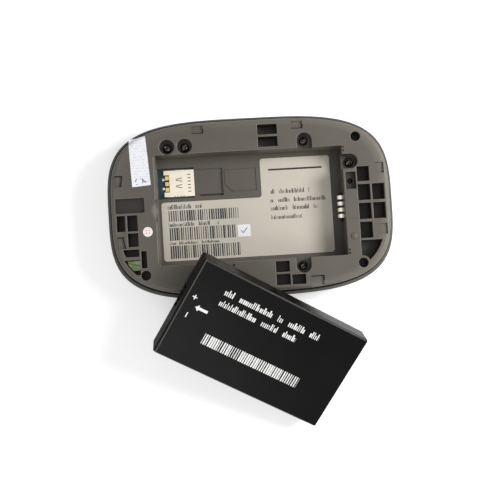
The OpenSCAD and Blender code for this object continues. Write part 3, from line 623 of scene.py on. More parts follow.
def new_material(name, place=None):
    """A material without a shader and its Object coordinates in millimetres.

    They are in the frame of a leaning piece where its place is given."""
    material = bpy.data.materials.new(name)
    coords = add("TexCoord", tree=new_tree(material)).node.outputs["Object"]
    if place is None:
        return material, add("Mapping", {"Vector": coords, "Scale": (1 / MM,) * 3})
    return material, add("Mapping TEXTURE", {
        "Vector": coords, "Location": place.translation * MM, "Rotation": place.to_euler(), "Scale": (MM,) * 3})


def opaque(tone, share=1.0):
    """A colour for a socket, from a hex value or a user's colour, made darker or lighter by a share."""
    rgb = linear(tone) if isinstance(tone, str) else tone
    return (*[min(1.0, c * share) for c in rgb], 1.0)


def moulded(name, tone, grain, depth, roughness, place=None, gloss=0.4, masks=None):
    """Thermoplastic from a spark-eroded mould: a fine matt grain, faint flow clouds and slightly uneven gloss.

    The grain is drawn coarser than a real one, so that it shows. The masks, if any, come with the share of the
    colour that they show: painted shade in hollows and painted highlights on edges."""
    material, coords = new_material(name, place)
    clouds = add("TexNoise", coords, 1 / 9, 3.0)
    fine = add("TexNoise", coords, 1 / grain)
    tint = add("Mix RGBA", add("MapRange", clouds, 0.3, 0.7), opaque(tone, 0.93), opaque(tone, 1.07))
    tint = add("Mix RGBA", add("MapRange", fine, 0.35, 0.65, 0, 0.22), tint, opaque(tone, 0.8))
    # Painted shade and painted highlights from the masks
    for mask, share in masks(coords) if masks else ():
        tint = add("Mix RGBA", mask, tint, opaque(tone, share))
    add("OutputMaterial", add("BsdfPrincipled", {
        "Base Color": tint, "Specular IOR Level": gloss,
        "Roughness": add("MapRange", clouds, 0.3, 0.7, roughness - 0.05, roughness + 0.05),
        "Normal": add("Bump", {"Height": fine, "Strength": 0.35, "Distance": depth * MM})}))
    return material


def sheet_metal(name, tone, roughness, grain=0.25, metallic=1.0, painted_highlight=None):
    """Rolled sheet: fine lines along the rolling direction, blotchy plating and, where a mask is given, painted
    highlights of bright steel.
    """
    material, coords = new_material(name)
    lines = add("Mapping", {"Vector": coords, "Scale": (0.06, 1, 1)})
    streaks = add("TexNoise", lines, 1 / grain, 4.0)
    blotches = add("TexNoise", coords, 1 / 2.5, 3.0)
    tint = add("Mix RGBA", blotches, opaque(tone, 0.9), opaque(tone, 1.08))
    # Painted highlights of bright steel, where a mask is given
    if painted_highlight:
        tint = add("Mix RGBA", painted_highlight(coords), tint, opaque("#A39D92"))
    add("OutputMaterial", add("BsdfPrincipled", {
        "Base Color": tint, "Metallic": metallic,
        "Roughness": add("MapRange", streaks, 0.3, 0.7, roughness - 0.06, roughness + 0.08),
        "Normal": add("Bump", {"Height": streaks, "Strength": 0.12, "Distance": 0.01 * MM})}))
    return material


def board_laminate(name, tone):
    """Fibre laminate under solder mask: fine copper tracks show through as slightly lighter, raised lines."""
    material, coords = new_material(name)
    spread = add("TexBrick", {
        "Vector": coords, "Scale": 1.0, "Mortar Size": 0.08, "Mortar Smooth": 0.3, "Brick Width": 8.3,
        "Row Height": 0.6, "Color1": (0, 0, 0, 1), "Color2": (0, 0, 0, 1), "Mortar": (1, 1, 1, 1)})
    cloud = add("TexNoise", coords, 1 / 1.5)
    tracks = add("Math MULTIPLY", spread, add("MapRange", cloud, 0.45, 0.6))
    add("OutputMaterial", add("BsdfPrincipled", {
        "Base Color": add("Mix RGBA", tracks, opaque(tone, 0.9), opaque(tone, 1.3)),
        "Roughness": add("MapRange", cloud, 0.3, 0.7, 0.3, 0.45),
        "Normal": add("Bump", {"Height": tracks, "Strength": 0.4, "Distance": 0.03 * MM})}))
    return material


def glazing(name, tone, roughness, transmission=0.0, coat=0.0, fields=()):
    """Hard smooth surface: a clear gloss with faint wiping marks, over fields of colour printed on its back."""
    material, coords = new_material(name)
    marks = add("TexNoise", add("Mapping", {"Vector": coords, "Scale": (0.08, 0.6, 1)}), 1.0, 3.0)
    tint = add("Mix RGBA", marks, opaque(tone, 0.9), opaque(tone, 1.1))
    for box, code in fields:
        x, y, _ = add("SeparateXYZ", coords).node.outputs
        tint = add("Mix RGBA", area(x, y, box), tint, opaque(code))
    add("OutputMaterial", add("BsdfPrincipled", {
        "Base Color": tint, "Transmission Weight": transmission, "Coat Weight": coat,
        "Roughness": add("MapRange", marks, 0.3, 0.7, roughness, roughness + 0.08)}))
    return material


def printed(name, fibre, shades, roughness, marks, ink_roughness=None, relief=0.0):
    """Paper: fibres of a size that mottle its two shades, and marks, each with its mask and ink.

    The last ink may have a gloss of its own."""
    material, coords = new_material(name)
    size, detail = fibre
    fibres = add("TexNoise", coords, 1 / size, detail)
    tint = add("Mix RGBA", fibres, *shades)
    for mask, ink in marks(coords):
        tint = add("Mix RGBA", mask, tint, opaque(ink))
    sockets = {"Base Color": tint, "Roughness": roughness}
    if ink_roughness:
        sockets["Roughness"] = add("MapRange", mask, 0, 1, roughness, ink_roughness)
    if relief:
        sockets["Normal"] = add("Bump", {"Height": fibres, "Strength": 0.2, "Distance": relief * MM})
    add("OutputMaterial", add("BsdfPrincipled", sockets))
    return material


def area(x, y, box):
    """1 inside a rectangle given as low x, low y, high x and high y."""
    return add("Math MULTIPLY", *[
        add("Math COMPARE", value, (low + high) / 2, (high - low) / 2)
        for value, low, high in ((x, box[0], box[2]), (y, box[1], box[3]))])


def reach(x, y, inset):
    """How far out a point is: 1 on the body's outline, drawn in by an inset."""
    shares = [add("Math ABSOLUTE", add("Math DIVIDE", value, half - inset))
              for value, half in ((x, HALF_L), (y, HALF_W))]
    total = add("Math ADD", *[add("Math POWER", share, OUTLINE_POWER) for share in shares])
    return add("Math POWER", total, 1 / OUTLINE_POWER)


def within(x, y, inset):
    """1 inside the body's outline, drawn in by an inset."""
    return add("Math LESS_THAN", reach(x, y, inset), 1.0)


def away(x, y, spot):
    """The square of how far a point is from a spot."""
    steps = [add("Math SUBTRACT", value, middle) for value, middle in zip((x, y), spot)]
    return add("Math ADD", *[add("Math MULTIPLY", step, step) for step in steps])


def near_screws(x, y, radius):
    """1 within a radius of a screw's axis."""
    return chain("Math MAXIMUM", *[
        add("Math LESS_THAN", away(x, y, spot), radius ** 2) for spot in SCREW_SPOTS])


def chance(value, step, seed):
    """A random value for each step along a line."""
    cell = add("Math FLOOR", add("Math DIVIDE", value, step))
    return add("TexWhiteNoise 1D", add("Math ADD", cell, SEED_STEP * seed))


def bars(x, y, box, seed, step=0.85):
    """A row of upright bars, one of uneven width in each step, which spell nothing."""
    width = add("Math MULTIPLY_ADD", chance(x, step, seed), 0.5, 0.3)
    along_step = add("Math FRACT", add("Math DIVIDE", x, step))
    return add("Math MULTIPLY", area(x, y, box), add("Math LESS_THAN", along_step, width))


def writing(x, y, box, seed):
    """A line of short and tall ticks on one base line, in word-like groups, which spell nothing."""
    height = box[3] - box[1]
    tick = 0.3 * height
    tall = add("Math GREATER_THAN", chance(x, tick, seed + 7), 0.65)
    top = add("Math MULTIPLY_ADD", tall, 0.35 * height, box[1] + 0.65 * height)
    words = add("Math GREATER_THAN", chance(x, 3 * tick, seed + 23), 0.15)
    return chain("Math MULTIPLY", add("Math LESS_THAN", y, top), words, bars(x, y, box, seed, tick))


# Pieces


class HOTSPOT_OT_front_housing(Operator):
    """Tray with the rounded front edge, the rim, the port openings and the screw bosses"""

    bl_idname = "hotspot.front_housing"
    bl_label = "Front housing"

    def execute(self, context):
        front = [(FRONT_ROUND * (1 - math.sin(t)), FRONT_ROUND * (1 - math.cos(t))) for t in quarter(ARC_STEPS)]
        rim = flare(FRONT_WALL, RIM_Z)
        tray = lofted(front + rim[1:-1])
        combine(tray, [lofted([(WALL - growth, height) for growth, height in rim])], "DIFFERENCE")
        feet = at_screws(BOSS_FOOT_R, FRONT_WALL - CUT, BOARD_Z)
        combine(tray, feet + at_screws(BOSS_R, BOARD_Z - CUT, BOSS_TOP), "UNION")
        combine(tray, self.openings(), "DIFFERENCE")
        colours = context.scene.hotspot_colours
        material = moulded("Moulded ABS, dark grey", colours.housing, 0.18, 0.02, 0.48, masks=self.masks)
        settle(tray, "front_tray", "device", material, ["front_housing"])
        return {"FINISHED"}

    def masks(self, coords):
        """Painted shade inside the tray, up to the seam beside the frame, which is widest on the north side."""
        x, y, z = add("SeparateXYZ", coords).node.outputs
        seam = within(x, add("Math SUBTRACT", y, 0.25), 0.8)
        return [(add("Math MULTIPLY", seam, add("Math GREATER_THAN", z, FRONT_WALL + CUT)), PAINTED_SHADE_SHARE)]

    def openings(self):
        """The lens's seat, the display's window, the holes for screws and the light, and those in the walls."""
        south, north = (-HALF_W - CUT, CUT + WALL - HALF_W), (HALF_W - WALL - CUT, HALF_W + CUT)
        made = [slab(LENS_INSET, -CUT, LENS_SEAT)]
        made.append(block((0, 0, *[2 * half for half in DISPLAY_HALF]), 0, FRONT_WALL + CUT))
        made += at_screws(SCREW_R + OVERLAP, BOSS_TOP - PILOT_DEPTH, BOSS_TOP + CUT)
        low, high = corners("light_pipe")
        made.append(new_rod((low + high) / 2, PIPE_HOLE_R, 0, FRONT_WALL + CUT))
        low, high = corners("usb_shell")
        made.append(pill(low.x - PORT_GAP, high.x + PORT_GAP, low.z - PORT_GAP, high.z + PORT_GAP, *south))
        low, high = corners("power_button")
        step_x, step_z = KEY_FLANGE[X] - FIT, KEY_FLANGE[Z] - FIT
        made.append(pill(low.x + step_x, high.x - step_x, low.z + step_z, high.z - step_z, *north))
        for jack in JACKS:
            low, high = corners(jack)
            middle, top = (low.x + high.x) / 2, high.z + PORT_GAP
            made.append(pill(middle - JACK_HOLE / 2, middle + JACK_HOLE / 2, top - JACK_HOLE, top, *south))
        return made


class HOTSPOT_OT_rear_frame(Operator):
    """Moulded inner frame with the battery bay, its pockets, recesses and holes"""

    bl_idname = "hotspot.rear_frame"
    bl_label = "Rear frame"

    def execute(self, context):
        edge = [(FRAME_INSET + FRAME_ROUND * (1 - math.cos(t)), FRAME_TOP - FRAME_ROUND * (1 - math.sin(t)))
                for t in quarter(ARC_STEPS)]
        shell = lofted([(FRAME_INSET, SKIRT_Z), *edge])
        hollow = slab(FRAME_INSET + FRAME_SKIN, SKIRT_Z - CUT, FRAME_TOP - FRAME_SKIN)
        combine(shell, [hollow], "DIFFERENCE")
        combine(shell, self.walls(), "UNION")
        combine(shell, self.bay_cuts() + self.pocket_cuts(), "DIFFERENCE")
        combine(shell, self.floor_cuts() + self.latch_cuts() + self.small_cuts(), "DIFFERENCE")
        combine(shell, self.raised(), "UNION")
        colours = context.scene.hotspot_colours
        material = moulded("Moulded PC-ABS, warm grey", colours.frame, 0.16, 0.02, 0.5, masks=self.masks)
        settle(shell, "inner_frame", "device", material, ["rear_frame"], smooth=14)
        return {"FINISHED"}

    def masks(self, coords):
        """Painted shade in the pockets and recesses outside the bay and at the foot, and painted highlights on
        rims and edges.
        """
        x, y, z = add("SeparateXYZ", coords).node.outputs
        east, north = BAY_E + MARGIN, BAY_N + MARGIN
        inside = within(x, y, FRAME_INSET + CUT)
        bay = add("Math MAXIMUM", area(x, y, (-east, -north, east, north)),
                  area(x, y, (-BAY_E - 2.5, -SCOOP_R, 0, SCOOP_R)))
        open_bay = add("Math MULTIPLY", bay, add("Math GREATER_THAN", z, DRAIN_Z + 0.2))
        # The screws' recesses get only a fifth of the painted shade
        seats = chain("Math MAXIMUM", near_screws(x, y, SCREW_RECESS_R + MARGIN),
                      *[area(x, y, extent(plan)) for plan in SCREW_OPENINGS])
        # Painted shade in the pockets and recesses outside the bay
        hollows = chain(
            "Math MULTIPLY", inside, add("Math SUBTRACT", 1.0, open_bay),
            add("MapRange", z, FRAME_TOP - LATCH_DEPTH - OVERLAP, FRAME_TOP - SHALLOW_DEPTH + OVERLAP),
            add("MapRange", z, FRAME_TOP - 3, FRAME_TOP - RESET_DEPTH, 0.83, 1),
            add("MapRange", seats, 0, 1, 1, 0.2))
        # Painted shadow along the seam at the frame's foot
        foot = add("Math MULTIPLY", add("Math LESS_THAN", z, RIM_Z + 0.25),
                   add("Math SUBTRACT", 1.0, inside))
        # Little light reaches the bay's east end
        end = add("Math MULTIPLY", area(x, y, (BAY_E - 3.4, -north, east, north)),
                  add("MapRange", z, FRAME_TOP, FRAME_TOP - 2, 0, 0.4))
        # Painted highlight on the rounded rims of the cuts
        rims = chain("Math MULTIPLY", add("Math COMPARE", z, FRAME_TOP - 0.13, 0.12),
                     within(x, y, FRAME_INSET + FRAME_ROUND + MARGIN), 0.75)
        # Painted highlight on the rounded edge, strongest at the east end
        edge = chain("Math MULTIPLY", add("MapRange", reach(x, y, FRAME_INSET), 0.91, 0.97),
                     add("MapRange", x, -HALF_L, HALF_L, 0.15, 0.6),
                     add("Math GREATER_THAN", z, FRAME_TOP - FRAME_ROUND))
        # Painted highlight in the scoop at the bay's west end
        scoop = add("Math MULTIPLY", area(x, y, (-BAY_E - 3, -4.5, -BAY_E - 0.7, 4.5)),
                    add("MapRange", z, FRAME_TOP - 0.6, FRAME_TOP - 1.2, 0, 0.8))
        return [(chain("Math MAXIMUM", rims, edge, scoop), PAINTED_HIGHLIGHT_SHARE),
                (chain("Math MAXIMUM", hollows, foot, end), PAINTED_SHADE_SHARE)]

    def walls(self):
        """What stands under the top skin round the bay, the pockets and the holes."""
        top, low = FRAME_TOP - FRAME_SKIN + OVERLAP, FRAME_TOP - POCKET_DEPTH - RIB
        made = [block((0, 0, 2 * (BAY_E + TUB_WALL), 2 * (BAY_N + TUB_WALL)), BOARD_TOP, top)]
        made += [block(grown(plan), low, top) for plan in DEEP_POCKETS]
        made += [rim_block(box, low, top) for box in (CORNER_POCKET, WEDGE_POCKET, TUNER_POCKET)]
        made += at_screws(SCREW_RECESS_R + RIB, BOSS_TOP, top)
        made += [new_rod(spot, PEG_R + RIB, FRAME_TOP - PEG_DEPTH - RIB, top) for spot in PEG_SPOTS]
        made += [block(grown(plan), FRAME_TOP - depth - FRAME_SKIN, top)
                 for plan, depth in ((RESET_POCKET, RESET_DEPTH), (SHALLOW_RECESS, SHALLOW_DEPTH))]
        made.append(new_rod((SCOOP_X, 0), SCOOP_R + RIB, FRAME_TOP - SCOOP_R, top))
        # Lips that close the seam above the antenna sockets
        for jack in JACKS:
            low_end, high_end = corners(jack)
            made.append(new_box(
                (low_end.x - LIP_OVER, WALL + OVERLAP - HALF_W, high_end.z + MARGIN),
                (high_end.x + LIP_OVER, FRAME_INSET + FRAME_SKIN - HALF_W, LIP_TOP)))
        return made

    def bay_cuts(self):
        """The bay with its thumb scoop and the slanted edge beside it."""
        made = [pocket((0, 0, 2 * BAY_E, 2 * BAY_N), FLOOR_Z)]
        bpy.ops.mesh.primitive_uv_sphere_add(
            segments=96, ring_count=64, radius=SCOOP_R, location=(SCOOP_X, 0, FRAME_TOP + SCOOP_LIFT))
        made.append(added())
        made.append(new_box((-BAY_E - SLANT, SLANT_END - BAY_N, FRAME_TOP - SLANT),
                            (SLANT - BAY_E, BAY_N - SLANT_END, FRAME_TOP + SLANT), (0, math.pi / 4, 0)))
        return made

    def pocket_cuts(self):
        """Pockets, screw recesses, peg holes and the reset button's pocket."""
        floor, reset_floor = FRAME_TOP - POCKET_DEPTH, FRAME_TOP - RESET_DEPTH
        made = [pocket(plan, floor) for plan in DEEP_POCKETS]
        made += [rim_pocket(box, floor) for box in (WEDGE_POCKET, TUNER_POCKET)]
        ring = new_rod((PEG_X, -PEG_Y), PEG_R + RIB, floor - CUT, FRAME_TOP + 2 * CUT, 64)
        made.append(combine(rim_pocket(CORNER_POCKET, floor), [ring], "DIFFERENCE"))
        made.append(pocket(SHALLOW_RECESS, FRAME_TOP - SHALLOW_DEPTH))
        made += [bore(spot, SCREW_RECESS_R, SCREW_SEAT) for spot in SCREW_SPOTS]
        made += at_screws(SCREW_R + SCREW_GAP, BOSS_TOP - CUT, SCREW_SEAT + CUT)
        made += at_screws(BOSS_R + OVERLAP, BOARD_TOP, BOSS_TOP)
        made += [pocket(plan, SCREW_SEAT) for plan in SCREW_OPENINGS]
        made += [bore(spot, PEG_R, FRAME_TOP - PEG_DEPTH) for spot in PEG_SPOTS]
        made.append(pocket(RESET_POCKET, reset_floor))
        made.append(new_rod(RESET_SPOT, RESET_HOLE_R, reset_floor - FRAME_SKIN - CUT, FRAME_TOP))
        return made

    def floor_cuts(self):
        """Window for the card reader, the card's well, its drain slot and symbol, and the way for the contacts."""
        made = [new_box((-BAY_E, READER_LOW.y - READER_GAP, BOARD_TOP - CUT),
                        (READER_HIGH.x, READER_HIGH.y + READER_GAP, FLOOR_Z + CUT))]
        made.append(block((WELL_X, READER_Y, WELL_L + 0.01, WELL_W), FLOOR_Z - WELL_DEPTH, FLOOR_Z + CUT))
        made.append(block((WELL_X + DRAIN_START / 2, READER_Y - WELL_W / 2, WELL_L - DRAIN_START, DRAIN_W),
                          DRAIN_Z, FLOOR_Z + CUT))
        made.append(self.card_groove())
        low, high = corners("contact_block")
        made.append(new_box((BAY_E - CUT, low.y - FIT, BOARD_TOP - CUT),
                            (BAY_E + TUB_WALL + CUT, high.y + FIT, high.z + FIT)))
        # Seams of the plate that covers the contacts' holder
        made += [block((BAY_E + COVER_PLATE_L / 2, y, COVER_PLATE_L, COVER_PLATE_SEAM),
                       FRAME_TOP - GROOVE_DEPTH, FRAME_TOP + CUT) for y in (low.y, high.y)]
        return made

    def card_groove(self):
        """The engraved outline of a card with its cut corner."""
        upright = along(Z)
        groove, core = (
            round_edges(
                block((CARD_X + CARD_L / 2, READER_Y, CARD_L - 2 * line, CARD_W - 2 * line),
                      FLOOR_Z - depth, FLOOR_Z + CUT + line),
                lambda a, b: upright(a, b) and a.x < CARD_X + 1 and a.y < READER_Y, CARD_CORNER, 1)
            for line, depth in ((0, GROOVE_DEPTH), (GROOVE_W, 1)))
        return combine(groove, [core], "DIFFERENCE")

    def small_cuts(self):
        """Gate holes beside the bay's corners and a pin hole in the south strip."""
        top = FRAME_TOP + CUT
        pin = new_rod(PIN_HOLE, PIN_HOLE_R, FRAME_TOP - PIN_HOLE_DEPTH, top)
        return [*[block(plan, FRAME_TOP - GATE_DEPTH, top) for plan in GATE_HOLES], pin]

    def latch_cuts(self):
        """Recesses for the cover's latches, some with slits that free the latch's finger."""
        low, top, through = FRAME_TOP - LATCH_DEPTH, FRAME_TOP + CUT, FRAME_TOP - FRAME_SKIN + 0.1
        made = []
        for sx in (-1, 1):
            for sy in (-1, 1):
                made.append(self.wedge(sx, sy, low, top))
                if sx < 0:
                    made += [self.wedge(sx, sy, through, top, END_SLIT_W), block(END_SLITS[sy], through, top)]
            for (x, y, *size), slits in LATCHES:
                made.append(block((sx * x, y, *size), low, top))
                made += [block((sx * x + dx, y + dy, *slit), through, top) for dx, dy, *slit in slits]
        return made

    def wedge(self, sx, sy, low, top, slit=None):
        """A recess in a short side with a slanted inner side, or just a slit of some width along that side."""
        (near, far), (inner_near, inner_far, outer) = END_LATCH_Y, END_LATCH_X
        spots = {
            (-1, -1): (inner_near, near), (-1, 1): (inner_far, far),
            (1, -1): (inner_near + slit if slit else outer, near),
            (1, 1): (inner_far + slit if slit else outer, far)}
        piece = block((0, 0, 1, 1), low, top)
        for point in piece.data.vertices:
            x, y = spots[round(math.copysign(1, point.co.x)), round(math.copysign(1, point.co.y))]
            point.co.x, point.co.y = sx * x, sy * y
        with editing(piece):
            bpy.ops.mesh.normals_make_consistent(inside=False)
        return piece

    def raised(self):
        """The dome that the cover clicks over and the ridge at the end of the card's well."""
        bpy.ops.mesh.primitive_uv_sphere_add(
            segments=64, ring_count=64, radius=DOME_R, location=(*DOME_SPOT, FRAME_TOP))
        dome = added((1, 1, DOME_H / DOME_R))
        return [dome, block(RIDGE, FLOOR_Z - OVERLAP, FLOOR_Z + RIDGE_H)]


class HOTSPOT_OT_screws(Operator):
    """Five pan-head screws with six-lobe sockets"""

    bl_idname = "hotspot.screws"
    bl_label = "Screws"

    def execute(self, context):
        top = SCREW_SEAT + HEAD_H
        screw = new_rod((0, 0), HEAD_R, SCREW_SEAT, top, 64)
        round_edges(screw, at(Z, top), HEAD_ROUND, 5)
        combine(screw, [new_rod((0, 0), SCREW_R, SCREW_SEAT - SCREW_L, SCREW_SEAT + OVERLAP, 32)], "UNION")
        lobes = [(LOBE_OUT * math.cos(k * math.pi / 3), LOBE_OUT * math.sin(k * math.pi / 3)) for k in range(6)]
        socket = [new_rod(spot, LOBE_R, top - SOCKET_DEPTH, top + CUT, 20) for spot in lobes]
        socket.append(new_rod((0, 0), SOCKET_R, top - SOCKET_DEPTH, top + CUT))
        combine(screw, socket, "DIFFERENCE")
        copies = [screw]
        for _ in SCREW_SPOTS[1:]:
            pick(screw)
            bpy.ops.object.duplicate()
            copies.append(bpy.context.object)
        for copy, spot in zip(copies, SCREW_SPOTS):
            copy.matrix_world = Matrix.Translation((*spot, 0)) @ Matrix.Rotation(spot[0], 4, "Z")
        pick(*copies)
        bpy.ops.object.transform_apply()
        bpy.ops.object.join()
        # Bright specks in the sockets are painted glints
        material = sheet_metal("Blackened screw steel", "#171514", 0.16, 0.12, painted_highlight=self.painted_highlight)
        settle(screw, "pan_screws", "device", material, ["frame_screws"])
        return {"FINISHED"}

    def painted_highlight(self, coords):
        """Painted glints: specks of bright steel inside the sockets."""
        x, y, _ = add("SeparateXYZ", coords).node.outputs
        specks = add("MapRange", add("TexNoise", coords, 1 / 0.45), 0.55, 0.62)
        return add("Math MULTIPLY", near_screws(x, y, 1.05), specks)


class HOTSPOT_OT_card_reader(Operator):
    """Stamped card reader shell, its base and its terminals"""

    bl_idname = "hotspot.card_reader"
    bl_label = "Card reader"

    def execute(self, context):
        colours = context.scene.hotspot_colours
        low, high, sheet = READER_LOW, READER_HIGH, READER_SHEET
        x, y, top = (low.x + high.x) / 2, READER_Y, high.z + CUT
        shell = new_box(low, high)
        upper, mouth = at(Z, high.z), at(X, high.x)
        round_edges(shell, lambda a, b: upper(a, b) and not mouth(a, b), READER_ROUND, 3)
        cuts = [new_box((low.x + sheet, low.y + sheet, low.z - CUT),
                        (high.x + CUT, high.y - sheet, high.z - sheet))]
        # The bay of the terminals and the row of slots at the mouth
        cuts.append(block((low.x + 1, y, *TERMINAL_BAY), low.z - CUT, top))
        cuts += [block((high.x - 1.9, y + MOUTH_PITCH * (row - 2.5), *MOUTH_SLOT), low.z, top)
                 for row in range(6)]
        # Two sprung fingers, each between a pair of slits, and the notches of the south side
        cuts += [block((x, y + step, *FINGER_SLIT), low.z, top, turn) for step, turn in FINGER_SLITS]
        cuts += [block((x + NOTCH_PITCH * k - 0.6, low.y, *SIDE_NOTCH), low.z + 0.5, top) for k in range(-1, 3)]
        combine(shell, cuts, "DIFFERENCE")
        # Solder tabs at the west end and catches on the north side
        tabs = [block((low.x - 0.125, y + 1.75 * side, *SOLDER_TAB), low.z, low.z + SOLDER_TAB_T)
                for side in (-1, 1)]
        tabs += [block((x - 0.9 + CATCH_PITCH * k, high.y - OVERLAP, *CATCH), low.z + 0.2, high.z - 0.35)
                 for k in range(3)]
        combine(shell, tabs, "UNION")
        steel = sheet_metal("Plated reader steel", colours.steel, 0.34, 0.3)
        settle(shell, "reader_shell", "device", steel, ["sim_shell"])
        finish_nodes(moulded("Liquid crystal polymer, black", colours.black, 0.12, 0.01, 0.5), "sim_base")
        finish_nodes(sheet_metal("Gold-plated terminals", colours.gold, 0.25, 0.2), "sim_terminals")
        return {"FINISHED"}


class HOTSPOT_OT_contacts(Operator):
    """Four sprung contact leaves and the block that holds them"""

    bl_idname = "hotspot.contacts"
    bl_label = "Contacts"

    def execute(self, context):
        sizes, colours = context.scene.hotspot_sizes, context.scene.hotspot_colours
        gold = sheet_metal("Gold-plated spring leaf", "#F6EFDC", 0.3, 0.2)
        for number in CONTACTS:
            node = f"contact_{number}"
            settle(self.leaf(*corners(node)), f"leaf_{number}", f"spring_{number}", gold, [node])
        low, high = corners("contact_block")
        holder = round_edges(new_box(low, high), lambda a, b: True, sizes.edge / MM * 0.6, 2)
        slots = []
        for number in CONTACTS:
            leaf_low, leaf_high = corners(f"contact_{number}")
            slots.append(new_box((low.x - CUT, leaf_low.y - FIT, leaf_low.z - FIT),
                                 (leaf_high.x + LEAF_TRAVEL + FIT, leaf_high.y + FIT, leaf_high.z + FIT)))
        combine(holder, slots, "DIFFERENCE")
        nylon = moulded("Contact holder nylon, black", colours.black, 0.14, 0.015, 0.45)
        settle(holder, "contact_holder", "device", nylon, ["contact_block"])
        return {"FINISHED"}

    def leaf(self, low, high):
        """A leaf bent into a bow, with its edges rounded."""
        lengthwise = along(Y)
        outer = round_edges(self.bow(low, high), lambda a, b: not lengthwise(a, b), LEAF_ROUND, 3)
        sheet = Vector((LEAF_T, -CUT, LEAF_T))
        return combine(outer, [self.bow(low + sheet, high - sheet)], "DIFFERENCE")

    def bow(self, low, high):
        """A bar along Y whose west side is round."""
        lengthwise, west = along(Y), at(X, low.x)
        return round_edges(
            new_box(low, high), lambda a, b: lengthwise(a, b) and west(a, b), HALF_ROUND * (high.z - low.z), 16)


